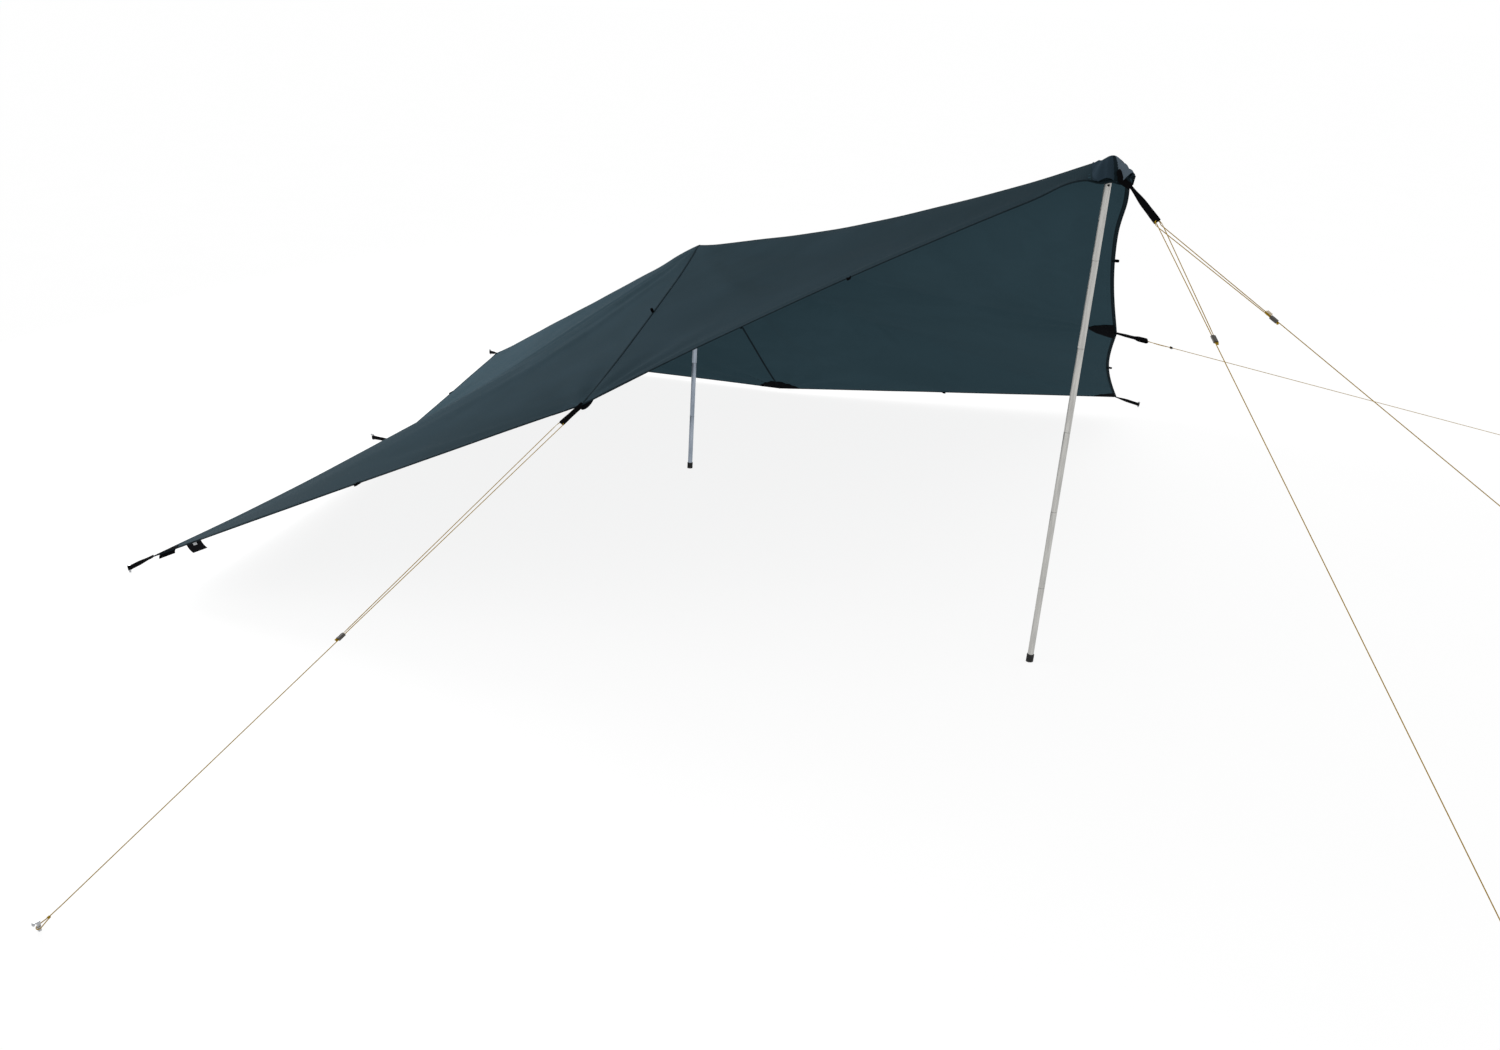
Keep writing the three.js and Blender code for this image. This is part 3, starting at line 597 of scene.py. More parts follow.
def wrapped_tail(name, at, axis):
    """The spare end of a line, wound into a small bundle round its standing part at the runner."""
    side = unit(np.cross(axis, arr(0.1, 0.8, 0.6)))
    up = np.cross(axis, side)
    turn = np.linspace(0, 5.5 * tau, 150)[:, None]
    wide = 0.0065 + 0.0003 * np.sin(2.3 * turn)
    points = at + wide * (np.cos(turn) * side + np.sin(turn) * up) + 0.0042 * turn / tau * axis
    return add(name, tube(points, CORD_RADIUS, 8), CORD, "cord", body="front_right_runner")


for line in GUYLINES:
    guyline(line)


# ---- The canopy ----

STEPS = 192
MIDDLE = STEPS // 2
PEAK_INDEX = round(FLAP / sqrt(2) / SIDE * STEPS)
SOLVER_TURNS = 1200
SOLVER_TOLERANCE = 1e-12

# The place on the cloth at a share along each edge and a share inwards from it.
EDGES = {
    "left_front": lambda a, b: (a, b),
    "left_rear": lambda a, b: (1 - b, a),
    "right_rear": lambda a, b: (a, 1 - b),
    "right_front": lambda a, b: (b, a),
}


def stretched_net():
    """The canopy's middle surface: a net of tensions between its fixed points, at rest."""
    count = STEPS + 1
    metre = SIDE / STEPS
    slant = metre * sqrt(2)
    share = np.ones(count) / STEPS
    share[[0, -1]] /= 2

    def tapes(front_hem):
        """The pull along each grid line: the fabric's own, plus the hems and the middle line."""
        weights = np.repeat((share * STEPS)[:, None], STEPS, 1)
        weights[0, :MIDDLE] += front_hem / metre
        weights[0, MIDDLE:] += SIDE_HEM_TENSION / metre
        weights[-1] += REAR_HEM_TENSION / metre
        weights[MIDDLE] += SEAM_TENSION / metre
        return weights

    along = tapes(RIGHT_FRONT_HEM_TENSION)[..., None]
    down = tapes(LEFT_FRONT_HEM_TENSION).T[..., None]
    ridge = np.arange(STEPS)
    ridge_pull = np.where(ridge < MIDDLE, FRONT_RIDGE_TENSION, REAR_RIDGE_TENSION)[:, None] / slant
    cross = np.arange(round(0.1 * STEPS), round(0.9 * STEPS))
    whole, first, last = slice(None), slice(None, -1), slice(1, None)
    links = (
        ((whole, first), (whole, last), along),
        ((first, whole), (last, whole), down),
        ((ridge, ridge), (ridge + 1, ridge + 1), ridge_pull),
        ((cross, STEPS - cross), (cross + 1, STEPS - cross - 1), CROSS_TENSION / slant),
    )

    def pull(x):
        out = np.zeros_like(x)
        for a, b, weight in links:
            force = weight * (x[a] - x[b])
            out[a] += force
            out[b] -= force
        return out

    # Of each pair of points that mirror each other, only the right-hand one is listed.
    fixed = {
        (0, 0): RAISED_CORNER,
        (PEAK_INDEX, PEAK_INDEX): PEAK,
        (MIDDLE, MIDDLE): CENTRE,
        (STEPS, STEPS): REAR_CORNER,
        (0, STEPS): SIDE_CORNER,
        (0, MIDDLE): HIGH_EDGE_MIDDLE,
        (MIDDLE, STEPS): LOW_EDGE_MIDDLE,
        (0, 2 * PEAK_INDEX): HEM_BY_POLE,
    }
    free = np.ones((count, count, 1))
    u = np.linspace(0, 1, count)
    left = mirrored(SIDE_CORNER) - RAISED_CORNER
    right = SIDE_CORNER - RAISED_CORNER
    x = RAISED_CORNER + u[:, None, None] * left + u[None, :, None] * right
    for (i, j), point in fixed.items():
        free[i, j] = free[j, i] = 0
        x[j, i], x[i, j] = mirrored(point), point
    load = np.zeros_like(x)
    load[..., 2] = -FABRIC_WEIGHT * SIDE**2 * share[:, None] * share[None]
    total = np.zeros((count, count, 1))
    for a, b, weight in links:
        total[a] += weight
        total[b] += weight
    # Conjugate gradients, until the net's points no longer move.
    rest = (load - pull(x)) * free
    search = rest / total
    size = (rest * search).sum((0, 1))
    for _ in range(SOLVER_TURNS):
        moved = pull(search) * free
        length = size / (search * moved).sum((0, 1))
        x += length * search
        rest -= length * moved
        scaled = rest / total
        after = (rest * scaled).sum((0, 1))
        if after.max() < SOLVER_TOLERANCE:
            break
        search = scaled + after / size * search
        size = after
    return x


def grid_normals(x):
    """The direction square to a grid of points at each of them, on the upper side."""
    normals = unit(np.cross(np.gradient(x, axis=0), np.gradient(x, axis=1)))
    return normals * np.sign(normals[..., 2:3] + 1e-9)


def crease(cloth, start, end, height, width):
    """A soft ridge or valley in the cloth from one point of it to another."""
    run = np.subtract(end, start)
    away = cloth - start
    u = np.clip((away @ run) / (run @ run), 0, 1)
    gap = np.linalg.norm(away - u[..., None] * run, axis=2)
    return height * np.sin(pi * u) ** 0.7 * bell(gap, 0, width * (0.55 + 0.9 * u))


def fan(cloth, at, folds, height, reach, phase):
    """Tension folds that spread from a point of the cloth."""
    away = cloth - at
    distance = np.linalg.norm(away, axis=2) / reach
    angle = np.arctan2(away[..., 1], away[..., 0])
    swell = distance * np.exp(1 - distance)
    return height * swell * np.sin(folds * angle + phase + 0.8 * np.sin(2 * angle))


# Creases: where each starts and ends on the cloth, its height and its width.
CREASES = (
    ((2.25, 2.15), (4.3, 1.75), 0.013, 0.075),
    ((2.25, 2.12), (4.25, 1.2), -0.011, 0.08),
    ((2.3, 2.1), (4.2, 0.65), 0.012, 0.08),
    ((2.3, 2.0), (4.2, 0.25), -0.009, 0.07),
    ((2.3, 1.9), (3.9, 0.1), 0.007, 0.06),
    ((2.3, 0.1), (4.2, 0.12), 0.008, 0.05),
    ((2.05, 2.05), (0.5, 0.32), 0.007, 0.06),
    ((2.1, 2.0), (0.7, 0.12), -0.007, 0.07),
    ((2.12, 1.9), (1.4, 0.06), 0.006, 0.06),
    ((1.9, 0.08), (0.3, 0.1), 0.007, 0.05),
    ((0.2, 0.35), (0.08, 2.0), 0.006, 0.05),
    ((0.3, 0.6), (0.25, 2.1), -0.006, 0.06),
    ((0.12, 2.4), (0.1, 4.2), 0.007, 0.05),
    ((2.0, 2.3), (0.2, 4.2), 0.006, 0.09),
    ((2.15, 2.35), (1.75, 4.3), 0.009, 0.06),
    ((2.1, 2.4), (1.5, 4.3), -0.008, 0.07),
    ((2.3, 2.4), (2.7, 4.3), 0.008, 0.06),
    ((2.4, 2.3), (3.4, 4.3), -0.008, 0.08),
    ((2.4, 2.3), (4.2, 4.1), 0.006, 0.06),
)

# Fans of folds: where each starts on the cloth, how many folds, their height, reach and phase.
FANS = (
    ((SIDE / 2, SIDE / 2), 9, 0.0035, 0.16, 0.4),
    ((SIDE / 2, 0), 11, 0.0045, 0.2, 1.0),
    ((0, SIDE / 2), 11, 0.002, 0.2, 2.1),
    ((SIDE / 2, SIDE), 13, 0.006, 0.24, 0.3),
    ((SIDE, SIDE / 2), 12, 0.005, 0.22, 1.6),
    ((SIDE, 0), 9, 0.003, 0.2, 0.9),
    ((0, SIDE), 9, 0.003, 0.2, 2.4),
    ((SIDE, SIDE), 9, 0.004, 0.2, 0.2),
)


def wrinkles(cloth, edge):
    """How far each point of the cloth stands off the net; less near the edge, in metres."""
    s, t = cloth[..., 0], cloth[..., 1]
    out = sum(crease(cloth, *values) for values in CREASES)
    out = out + sum(fan(cloth, *values) for values in FANS)
    out += 0.0016 * np.sin(5.1 * s + 1.3 * np.sin(2.2 * t)) * np.sin(4.3 * t + 0.9 * np.sin(3.1 * s))
    out += 0.0008 * np.sin(11.7 * s + 2.0 * t) * np.sin(9.1 * t - 3.0 * s)
    return out * np.clip(0.35 + edge / 0.3, 0, 1)


def hood_shape(x):
    """Lowers the hems where they are gathered round the front pole, and hollows the right-hand one."""
    u = np.linspace(0, SIDE, STEPS + 1)
    s, t = grid(u, u)
    inward = unit(x[2 * PEAK_INDEX] - x[0])
    upper = np.clip((u - 0.1) / (SIDE / 2 - 0.1), 0, 1)
    lower = np.clip((u - SIDE / 2) / (SIDE / 2), 0, 1)
    hollow = 0.023 * np.sin(pi * upper) ** 1.2 + 0.03 * np.sin(pi * lower) ** 1.2
    hollow -= 0.014 * bell(u, 0.4, 0.22)
    x += (hollow * np.exp(-s / 0.3))[..., None] * inward
    for along, off in ((s, t), (t, s)):
        x[..., 2] += 0.012 * bell(along, 0.26, 0.07) * bell(off, 0, 0.07)
        x[..., 2] -= 0.02 * bell(along, 0.115, 0.055) * bell(off, 0, 0.05)
        x[..., 2] -= 0.03 * bell(along, 0.045, 0.024) * bell(off, 0, 0.02)
    return x


CLOTH = np.stack(grid(*[np.linspace(0, SIDE, STEPS + 1)] * 2), 2)
TO_EDGE = np.minimum(CLOTH, SIDE - CLOTH).min(2)
NET = hood_shape(stretched_net())
SURFACE = NET + wrinkles(CLOTH, TO_EDGE)[..., None] * grid_normals(NET)
NORMALS = grid_normals(SURFACE)


def on_canopy(s, t, field=SURFACE):
    """The canopy at shares s and t of its sides."""
    s, t = np.asarray(s, float), np.asarray(t, float)
    i = np.clip((s * STEPS).astype(int), 0, STEPS - 1)
    j = np.clip((t * STEPS).astype(int), 0, STEPS - 1)
    a, b = (s * STEPS - i)[..., None], (t * STEPS - j)[..., None]
    low = field[i, j] * (1 - b) + field[i, j + 1] * b
    high = field[i + 1, j] * (1 - b) + field[i + 1, j + 1] * b
    return low * (1 - a) + high * a


def slab(points, normals, above, below, coords):
    """The shell of a closed sheet round a grid of points, and the side each of its faces is on."""
    rows, columns = points.shape[:2]
    count = rows * columns
    verts = np.stack([points + above * normals, points - below * normals]).reshape(-1, 3)
    at = np.arange(count).reshape(rows, columns)
    top = np.stack([at[:-1, :-1], at[1:, :-1], at[1:, 1:], at[:-1, 1:]], 2).reshape(-1, 4)
    faces = np.stack([top, top[:, ::-1] + count], 1).reshape(-1, 4).tolist()
    rim = [*at[0, :-1], *at[:-1, -1], *at[-1, :0:-1], *at[:0:-1, 0]]
    faces += [(a, b, b + count, a + count) for a, b in zip(rim, rim[1:] + rim[:1])]
    groups = [0, 1] * len(top) + [0] * len(rim)
    return (verts, faces, np.stack([coords, coords]).reshape(-1, 3)), groups


def make_canopy():
    coords = np.concatenate([CLOTH, TO_EDGE[..., None]], 2)
    shell, groups = slab(SURFACE, NORMALS, CLOTH_HALF, CLOTH_HALF, coords)
    piece = build("canopy", shell, [OUTER, INNER], groups, None)
    return place(piece, "fabric", "front_panel", "rear_panel")


def edge_strip(name, turn, width, thickness, shift, node):
    """A stitched strip along a line of the canopy; shift moves its middle line inwards."""
    u = np.linspace(0.002, 0.998, 260)
    points = on_canopy(*turn(u, 0.0))
    inward = unit(on_canopy(*turn(u, 0.004)) - points)
    shell = strip(points + shift * inward, inward, width, thickness)
    return add(name, shell, HEM_AND_FOLD_SHADE, "fabric", node)


def make_strips():
    strips = [edge_strip("seam_strip", lambda a, b: (0.5 + b, a), 0.014, 0.0026, 0.0, "centre_seam")]
    for name, turn in EDGES.items():
        strips.append(edge_strip(f"{name}_hem_fold", turn, 0.017, 0.0028, 0.0035, f"{name}_hem"))
    return strips


def patch(name, s, t, above, below, node):
    """A black reinforcement on the canopy, from above its middle surface to below it."""
    coords = np.stack([s * SIDE, t * SIDE, 0 * s], 2)
    shell, _ = slab(on_canopy(s, t), unit(on_canopy(s, t, NORMALS)), above, below, coords)
    return add(name, shell, BLACK_PATCH, "reinforcement", node)


def make_hood():
    """The raised corner's reinforcement: a rounded cap over the pole, with a fold on each side."""
    u = np.linspace(0.0008, 1.75 * PEAK_INDEX / STEPS, 64)
    s, t = grid(u, u)
    points = on_canopy(s, t)
    away = np.linalg.norm((points - PEAK)[..., :2], axis=2)
    dome = PEAK[2] - 0.0015 - away**2 / (2 * HOOD_RADIUS)
    points[..., 2] = np.maximum(points[..., 2], dome)
    normals = grid_normals(points)
    cloth = np.stack([s, t, 0 * s], 2) * SIDE
    stand = crease(cloth[..., :2], (0.1, 0.1), (-0.03, -0.03), 0.009, 0.022)
    for start, end, height, width in (
        ((0.09, 0.08), (0.066, -0.03), -0.005, 0.008),
        ((0.105, 0.08), (0.1, -0.04), 0.004, 0.01),
        ((0.11, 0.1), (0.19, 0.02), -0.004, 0.014),
        ((0.12, 0.08), (0.15, -0.02), 0.003, 0.012),
    ):
        for flip in (1, -1):
            stand += crease(cloth[..., :2], start[::flip], end[::flip], height, width)
    points = points + (np.maximum(stand, -0.003) + 0.0035)[..., None] * normals
    shell, groups = slab(points, normals, 0.0008, 0.0008, cloth)
    # On the upper side, a strip of painted shade runs down from the pole as the dark of a fold, with the flap
    # below it a paler reinforcement painted lighter still, as light on its upturned face.
    reach = FLAP / sqrt(2)
    down = reach - np.minimum(s, t)[1:, 1:] * SIDE
    beside = np.maximum(s, t)[1:, 1:] * SIDE - reach + 0.28 * down
    painted_fold_shade = (np.abs(beside) < 0.003 + 0.09 * down) & (down > 0.004)
    upper = np.where(painted_fold_shade, 2, np.where(beside < 0, 3, 0))
    groups[: 2 * upper.size : 2] = upper.ravel().tolist()
    piece = build("raised_corner_patch", shell, [CAP_PATCH, BLACK_PATCH, HEM_AND_FOLD_SHADE, PALE_AND_LIT_FLAP_PATCH], groups, 60)
    return place(piece, "corner_fabric", "front_corner_patch")


def make_patches():
    made = [make_hood()]
    a, b = grid(np.linspace(0, 1, 16), np.linspace(0, 1, 16))
    side = 0.032 * (0.03 + 0.97 * a)
    s, t = 0.0006 + side * b, 0.0006 + side * (1 - b)
    for name, at_s, at_t in (("left", 1 - s, t), ("rear", 1 - s, 1 - t), ("right", s, 1 - t)):
        node = f"{name}_corner_patch"
        made.append(patch(f"{name}_corner_black_patch", at_s, at_t, 0.0018, 0.0018, node))
    a, b = grid(np.linspace(-0.995, 0.995, 29), np.linspace(0, 1, 10))
    depth = 0.0295 * (1 - np.abs(a) ** 1.7) ** 0.8
    for name, turn in EDGES.items():
        s, t = turn(0.5 + 0.032 * a, 0.0008 + depth * b)
        node = f"{name}_edge_patch"
        made.append(patch(f"{name}_edge_black_patch", s, t, -PATCH_TOP, PATCH_BOTTOM, node))
    a, b = grid(np.linspace(-1, 1, 21), np.linspace(-1, 1, 21))
    bulge = 0.021 * np.maximum(np.abs(a), np.abs(b)) / np.maximum(np.hypot(a, b), 1e-6)
    s, t = 0.5 + bulge * a, 0.5 + bulge * b
    made.append(patch("centre_pole_patch", s, t, -PATCH_TOP, PATCH_BOTTOM, "centre_patch"))
    return made


canopy = make_canopy()
strips = make_strips()
patches = make_patches()


# ---- Webbing ----


def make_front_anchor():
    """The rounded black end of the front webbing, sewn to the left of the raised corner's ridge."""
    cloth = smooth_path([(0.06, 0.034, 0), (0.052, 0.02, 0), (0.044, 0.006, 0)]) / SIDE
    normals = unit(on_canopy(cloth[:, 0], cloth[:, 1], NORMALS))
    points = on_canopy(cloth[:, 0], cloth[:, 1]) + 0.009 * normals
    points = smooth_path([*points[::4], FRONT_STRAP_START])
    facing = np.linspace(normals[0], normals[len(normals) // 2], len(points))
    rounded = (1 - travelled(points) / (FRONT_WEBBING_WIDTH / 2)).clip(0)
    widths = FRONT_WEBBING_WIDTH * np.sqrt(np.clip(1 - rounded**2, 0.02, 1))
    shell = strip(points, np.cross(facing, np.gradient(points, axis=0)), widths, 0.0018)
    return add("front_strap_anchor", shell, STRAP, "webbing")


def make_lobe(name, share, width, height):
    """A rounded black tongue of reinforcement that hangs below an edge."""
    turn = EDGES[name]
    at = on_canopy(*turn(share, 0.0015))
    run = unit(on_canopy(*turn(share + 0.01, 0.0015)) - at)
    outward = unit(on_canopy(*turn(share, 0.0)) - on_canopy(*turn(share, 0.01)))
    down = unit(outward - 0.8 * UP)
    face = np.cross(run, down)
    a, b = grid(np.linspace(-0.99, 0.99, 17), np.linspace(0, 1, 9))
    depth = height * (1 - np.abs(a) ** 2.2) ** 0.7
    points = at + (a * width / 2)[..., None] * run + (b * depth)[..., None] * down
    points += (0.005 * np.sin(2.4 * b) * np.cos(1.5 * a))[..., None] * face
    shell, _ = slab(points, face, 0.0009, 0.0009, np.stack([a * width / 2, b * height, 0 * a], 2))
    return add(f"{name}_edge_black_lobe", shell, BLACK_PATCH, "reinforcement")


def strap(
    name, start, end, across, node,
    width=WEBBING_WIDTH, eye=0.0054, mouth=0.022, twist=0.0, turn=0.0, narrow=0.0, back=0.0,
):
    """A webbing strap folded back on itself round an eye at its far end.

    turn turns it about its length, twist turns it further near the canopy, where narrow gathers it."""
    out, across, up = loop_frame(start, end, across)
    length = np.linalg.norm(end - start)
    close = 0.00095
    leg = [(-back, close), (0.25 * length, close), (max(length - mouth - 0.03, 0.35 * length), close)]
    leg += [(length - mouth, 0.85 * eye), (length - 0.6 * mouth, eye), (length - eye - 0.0012, eye)]
    flat = smooth_path([(x, 0, z) for x, z in leg])
    under = smooth_path([(x, 0, -z) for x, z in leg[::-1]])
    angles = np.linspace(0.5, -0.5, 9)[1:-1] * pi
    cap = [(length - eye - 0.0007 + eye * cos(a), 0, eye * sin(a)) for a in angles]
    line = np.vstack([flat, cap, under])
    share = np.clip(1 - line[:, 0] / (0.55 * length), 0, 1)
    share = share * share * (3 - 2 * share)
    angle = (turn + twist * share)[:, None]
    wide = np.cos(angle) * across + np.sin(angle) * up
    lift = np.cos(angle) * up - np.sin(angle) * across
    points = start + line[:, :1] * out + line[:, 2:] * lift
    shell = strip(points, wide, width * (1 - narrow * share), WEBBING)
    return add(name, shell, STRAP, "webbing", node)


def bar_tacks(name, start, end, across, places):
    """Rows of raised zigzag stitching across a strap, on both of its faces."""
    out, across, up = loop_frame(start, end, across)
    zigzag = np.where(np.arange(15) % 2, 0.0013, -0.0013)[:, None]
    spread = (np.linspace(-1, 1, 15) * WEBBING_WIDTH * 0.42)[:, None]
    verts, faces, coords = [], [], []
    for at in places:
        for face in (1, -1):
            points = start + out * (at + zigzag) + spread * across + face * up * 0.0017
            shell = tube(points, 0.0004, 5)
            base = len(shell[0]) * len(verts)
            verts.append(shell[0])
            faces += [tuple(k + base for k in corners) for corners in shell[1]]
            coords.append(shell[2])
    return add(name, (np.vstack(verts), faces, np.vstack(coords)), THREAD, "webbing")


def make_straps():
    shapes = {
        "front": dict(width=FRONT_WEBBING_WIDTH, twist=0.9, narrow=0.45, mouth=0.03, back=0.004),
        "left": dict(mouth=0.03, back=0.01),
        "right": dict(turn=0.75, twist=0.6, narrow=0.45, eye=0.0085, mouth=0.07, back=0.01),
    }
    facing = {"front": arr(0.4, 0.65, 0.55), "left": arr(0.6, 0.5, -0.5)}
    for name, (start, end, across) in GUYED_LOOPS.items():
        across = facing.get(name, across)
        start = FRONT_STRAP_START if name == "front" else start
        strap(f"{name}_guy_strap", start, end, across, f"{name}_guy_loop", **shapes[name])
        reach = np.linalg.norm(end - start) - shapes[name]["mouth"]
        bar_tacks(f"{name}_guy_strap_stitches", start, end, across, (reach - 0.014, reach - 0.021))
    for name, (start, end) in PEGGED_LOOPS.items():
        shape = dict(twist=1.2 if name.endswith("corner") else 0.3, narrow=0.45)
        if name == "left_corner":
            shape = dict(twist=0.5, narrow=0.3, back=0.045)
        strap(f"{name}_peg_strap", start, end, UP, f"{name}_peg_loop", mouth=0.026, **shape)
        reach = np.linalg.norm(end - start)
        bar_tacks(f"{name}_peg_strap_stitches", start, end, UP, (reach - 0.05, reach - 0.057))


def tie_out(name, root, outward, run):
    """A small fabric loop sewn to the canopy, standing off it along outward, its legs set along run."""
    outward = unit(outward)
    run = unit(run - outward * (run @ outward))
    height, half = 0.022, 0.007
    turns = [(half * cos(a), height - half * (1 - sin(a))) for a in np.linspace(0, pi, 9)]
    line = [(half, -0.008), (half, 0.004), *turns, (-half, 0.004), (-half, -0.008)]
    points = smooth_path([root + run * x + outward * z for x, z in line])
    shell = strip(points, np.cross(run, outward), 0.009, 0.0013)
    return add(name, shell, STRAP, "webbing")


def make_tie_outs():
    inside = 0.01
    for name, turn in EDGES.items():
        for share in (0.25, 0.75):
            edge, inner = on_canopy(*turn(share, 0.0)), on_canopy(*turn(share, inside))
            along = on_canopy(*turn(share + inside, 0.0)) - edge
            tie_out(f"{name}_tie_out_{int(100 * share)}", edge, edge - inner, along)
    for side, t, facing in (("left", 0.25, 1), ("right", 0.75, -1)):
        root = on_canopy(0.5, t)
        outward = facing * on_canopy(0.5, t, NORMALS)
        tie_out(f"seam_tie_out_{side}", root, outward, on_canopy(0.5, t + inside) - root)


def tag(name, share, size, drop_by, slant, materials, slot, node, marks=()):
    """A flat tag sewn along the left corner's hem and hanging below it, slanted along the hem.

    marks are the cells of its front, counted along and down it, that take the last material."""
    width, height = size
    u, v = np.linspace(-0.5, 0.5, 13), np.linspace(0, 1, 9)
    s = 1 - share + u * width / SIDE
    hang = on_canopy(s, 0.001)
    outward = unit((hang - on_canopy(s, 0.008)) * arr(1, 1, 0))[:, None]
    down = unit(slant * unit(hang[-1] - hang[0]) - UP)
    curl = (0.007 * np.sin(v * 2.4) + 0.004)[None, :, None]
    points = (hang - 0.003 * on_canopy(s, 0.004, NORMALS))[:, None]
    points = points + (v * height - drop_by)[None, :, None] * down + curl * outward
    a, b = grid(u * width, (v - 0.5) * height)
    shell, groups = slab(points, outward, 0.0004, 0.0004, np.stack([a, b, 0 * a], 2))
    for i, j in marks:
        groups[2 * (i * (len(v) - 1) + j)] = 2
    return place(build(name, shell, materials, groups), slot, node)


def make_tags():
    tag("spare_tab", 0.022, (0.085, 0.026), 0.008, 0.2, [STRAP] * 2, "webbing", "spare_webbing_tab")
    label, marks = [LABEL, LABEL, LABEL_MARK], [(i, j) for i in (4, 5, 6) for j in (1, 2)]
    tag("sewn_in_label", 0.053, (0.075, 0.05), 0.006, -0.7, label, "reinforcement", "sewn_label", marks)


# ---- Poles ----


def revolve(profile, start, axis, sides=40):
    """The shell of a closed profile of (radius, along) pairs turned about an axis."""
    axis = unit(axis)
    side = unit(np.cross(axis, arr(0, 1, 0)))
    profile = np.asarray(profile, float)
    count = len(profile)
    turns = np.arange(sides)[:, None, None] / sides
    ring = np.cos(turns * tau) * side + np.sin(turns * tau) * np.cross(axis, side)
    verts = start + profile[:, 1:] * axis + ring * profile[:, :1]
    coords = np.zeros_like(verts)
    coords[..., 0] = profile[:, 1]
    coords[..., 1] = turns[..., 0]
    faces = []
    for k in range(sides):
        for j in range(count):
            a, b, c = k * count, ((k + 1) % sides) * count, (j + 1) % count
            faces.append((a + j, a + c, b + c, b + j))
    return verts.reshape(-1, 3), faces, coords.reshape(-1, 3)


def capped(profile, start, axis, sides=40):
    """Like revolve, for an open profile whose two ends lie on the axis."""
    verts, faces, coords = revolve(profile[1:-1], start, axis, sides)
    count, low = len(profile) - 2, len(verts)
    faces = [f for k, f in enumerate(faces) if k % count != count - 1]
    tips = (profile[0][1], profile[-1][1])
    verts = np.vstack([verts, *[start + unit(axis) * along for along in tips]])
    coords = np.vstack([coords, *[(along, 0, 0) for along in tips]])
    for k in range(0, low, count):
        after = (k + count) % low
        faces += [(low, after, k), (low + 1, k + count - 1, after + count - 1)]
    return verts, faces, coords


def make_pole(name, foot_x, peak, sections, metal):
    foot = arr(foot_x, 0, 0)
    peak = peak - UP * TIP_BELOW_FABRIC
    axis = unit(peak - foot)
    length = np.linalg.norm(peak - foot) - TIP_BELOW_FABRIC
    sole, lip, wall, gap = 0.0053, 0.0012, 0.0012, 0.0003
    step = (length - POLE_RADIUS - gap - sole) / sections
    outer, inner = POLE_RADIUS, POLE_RADIUS - wall
    for k in range(sections):
        low = sole + k * step
        high = low + step - gap
        lower = [(inner, low), (outer - lip, low), (outer - 0.3 * lip, low + 0.3 * lip), (outer, low + lip)]
        middle = [(outer, low + 0.3 * step), (outer, low + 0.7 * step)]
        upper = [(radius, low + high - along) for radius, along in lower[::-1]]
        shell = revolve([*lower, *middle, *upper], foot, axis)
        add(f"{name}_tube_{k + 1}", shell, metal, "aluminium", f"{name}_section_{k + 1}", body=name)
        if k < sections - 1:
            ring = [(outer - 0.0011, high - 0.002), (outer - 0.0009, high - 0.0012)]
            ring += [(outer - 0.0009, high + 0.0016), (outer - 0.0011, high + 0.0024), (inner - 0.0002, high)]
            add(f"{name}_joint_{k + 1}", revolve(ring, foot, axis), DARK, "aluminium", body=name)
    make_foot(name, foot, axis)
    dome, plug = length - outer, inner - 0.0004
    tip = [(0, dome - 0.03), (plug, dome - 0.03), (plug, dome)]
    tip += [(outer * cos(a), dome + outer * sin(a)) for a in np.linspace(0, 0.45 * pi, 10)]
    shell = capped([*tip, (0, dome + outer)], foot, axis)
    add(f"{name}_domed_tip", shell, PLASTIC, "plastic", f"{name}_tip", body=name)
    return foot, axis


def make_foot(name, foot, axis):
    """A ribbed rubber cup whose sole lies flat on the ground."""
    rim, inside, height, sole = 0.015, POLE_RADIUS + 0.0003, 0.034, 0.005
    groove = rim - 0.0009
    profile = [(0, -sole), (rim - 0.001, -sole), (rim, -sole + 0.001)]
    for k in range(4):
        low = 0.008 + 0.0055 * k
        profile += [(rim, low), (groove, low + 0.0007), (groove, low + 0.002), (rim, low + 0.0027)]
    profile += [(rim, height - 0.003), (rim - 0.0012, height), (inside, height), (inside, sole), (0, sole)]
    verts, faces, coords = capped(profile, foot, axis)
    verts[:, 2] = np.maximum(verts[:, 2], 0)
    add(f"{name}_rubber_foot", (verts, faces, coords), RUBBER, "rubber", f"{name}_foot", body=name)


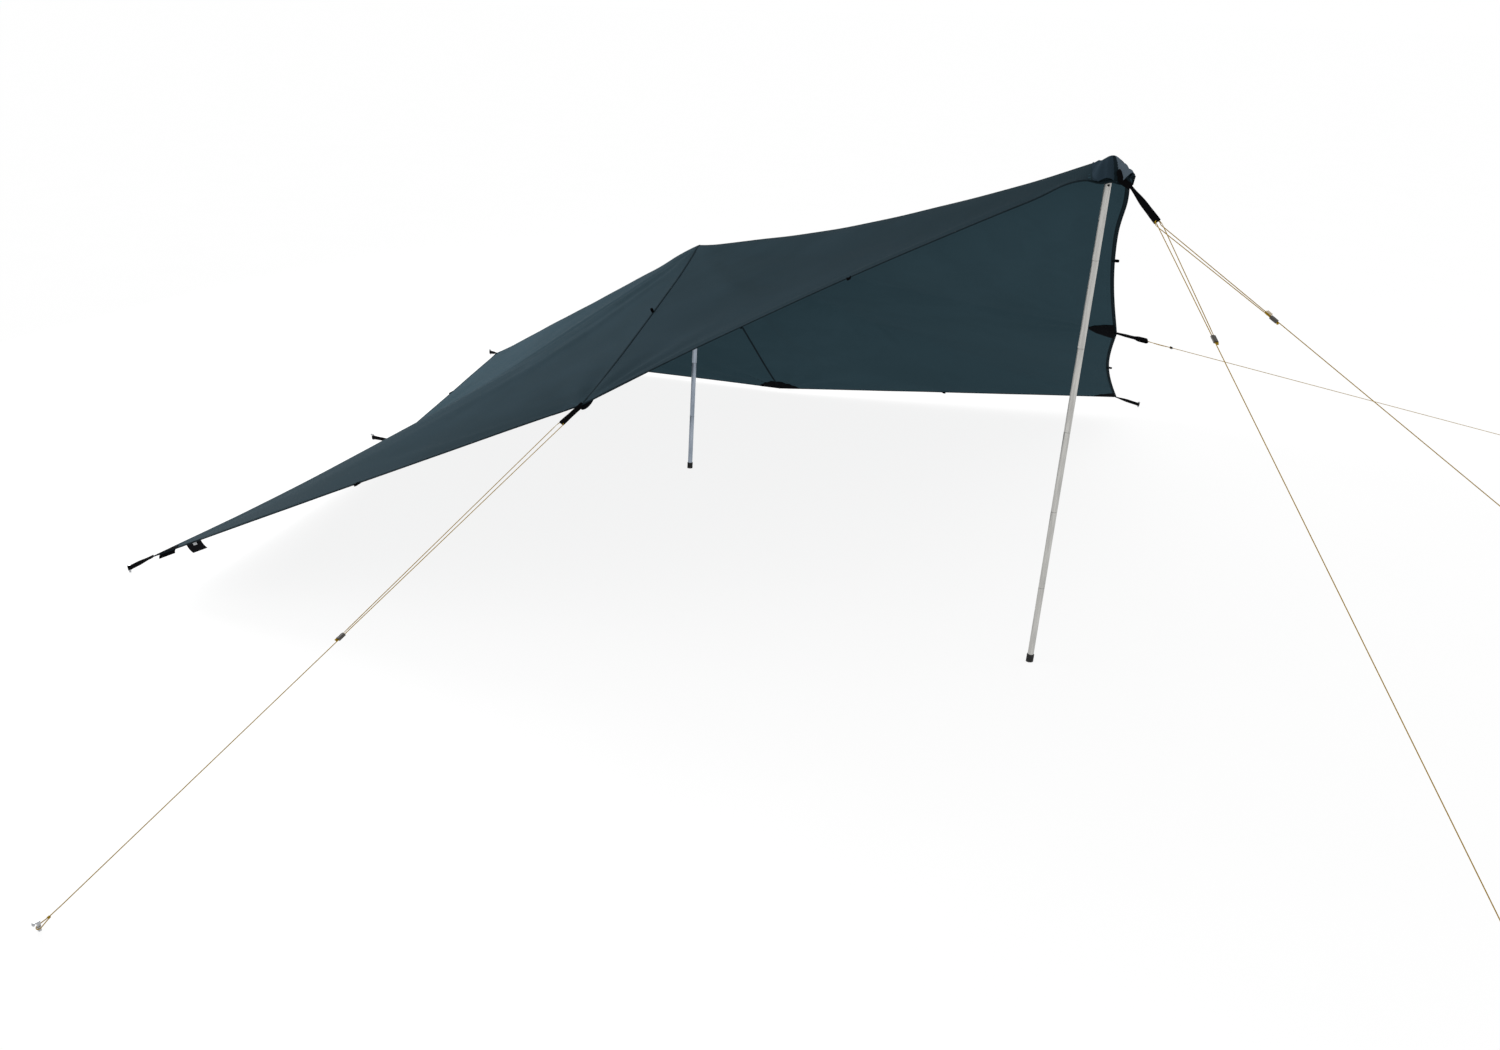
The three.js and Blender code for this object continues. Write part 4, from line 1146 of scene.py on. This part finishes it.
def make_painted_pole_shadow(foot, axis):
    """A dark disc on the front pole near its top: painted shadow of the raised corner where it falls on the
    pole.
    """
    toward = arr(1, -0.62, 0)
    toward = unit(toward - axis * (toward @ axis))
    at = foot + axis * 1.942 + toward * (POLE_RADIUS - 0.0006)
    rim = [(0, 0.001), (0.0046, 0.001), (0.0046, -0.0006), (0.0042, -0.0009), (0, -0.0009)]
    add("front_pole_painted_shadow", capped(rim, at, -toward, 28), DARK, "aluminium", body="front_pole")


def refine_pegs_and_runners():
    """Rounded edges and real materials for the carried-over pegs and runners."""
    for name, node in frame["nodes"].items():
        peg, runner = name.endswith("_peg"), name.endswith("_line_runner")
        if not (peg or runner):
            continue
        node.data.materials.clear()
        node.data.materials.append(PEG_ALLOY if peg else PLASTIC)
        bevel = node.modifiers.new("rounded_edges", "BEVEL")
        bevel.width = 0.0012 if peg else 0.0014
        bevel.segments = 3
        bevel.limit_method = "ANGLE"
        bevel.angle_limit = radians(40)


make_straps()
make_tie_outs()
make_tags()
make_front_anchor()
make_lobe("left_front", 0.4955, 0.06, 0.036)
make_lobe("right_front", 0.497, 0.05, 0.012)
front_foot, front_axis = make_pole("front_pole", FRONT_POLE_FOOT_X, PEAK, 6, FRONT_METAL)
make_pole("centre_pole", CENTRE_POLE_FOOT_X, CENTRE, 4, CENTRE_METAL)
make_painted_pole_shadow(front_foot, front_axis)
refine_pegs_and_runners()

# ---- Stage and light ----


def area_light(name, at, target, size, power):
    data = bpy.data.lights.new(name, "AREA")
    data.energy, data.size = power, size
    lamp = add_object(name, data)
    lamp.location = at
    lamp.rotation_euler = (Vector(target) - Vector(at)).to_track_quat("-Z", "Y").to_euler()


def make_stage():
    half, below = 150, -0.001
    corners = [(x * half, y * half, below) for x, y in ((-1, -1), (1, -1), (1, 1), (-1, 1))]
    m = Material("floor_paper", Specular_IOR_Level=0.0, Emission_Strength=0.88)
    m.vector = m.node("TexCoord").outputs["Object"]
    paper = m.finish(m.mix(m.noise(1.5, 3.0), rgb(94, 94, 94), rgb(98, 98, 98)), 0.95)
    floor = build("floor", (corners, [(0, 1, 2, 3)], corners), [paper])
    world = bpy.data.worlds.new("studio")
    scene.world = world
    world.use_nodes = True
    world.node_tree.nodes["Background"].inputs["Color"].default_value = (1, 1, 1, 1)


make_stage()
area_light("key", (-3.6, -3.2, 2.0), (-0.8, -0.9, 0.6), 2, 420)
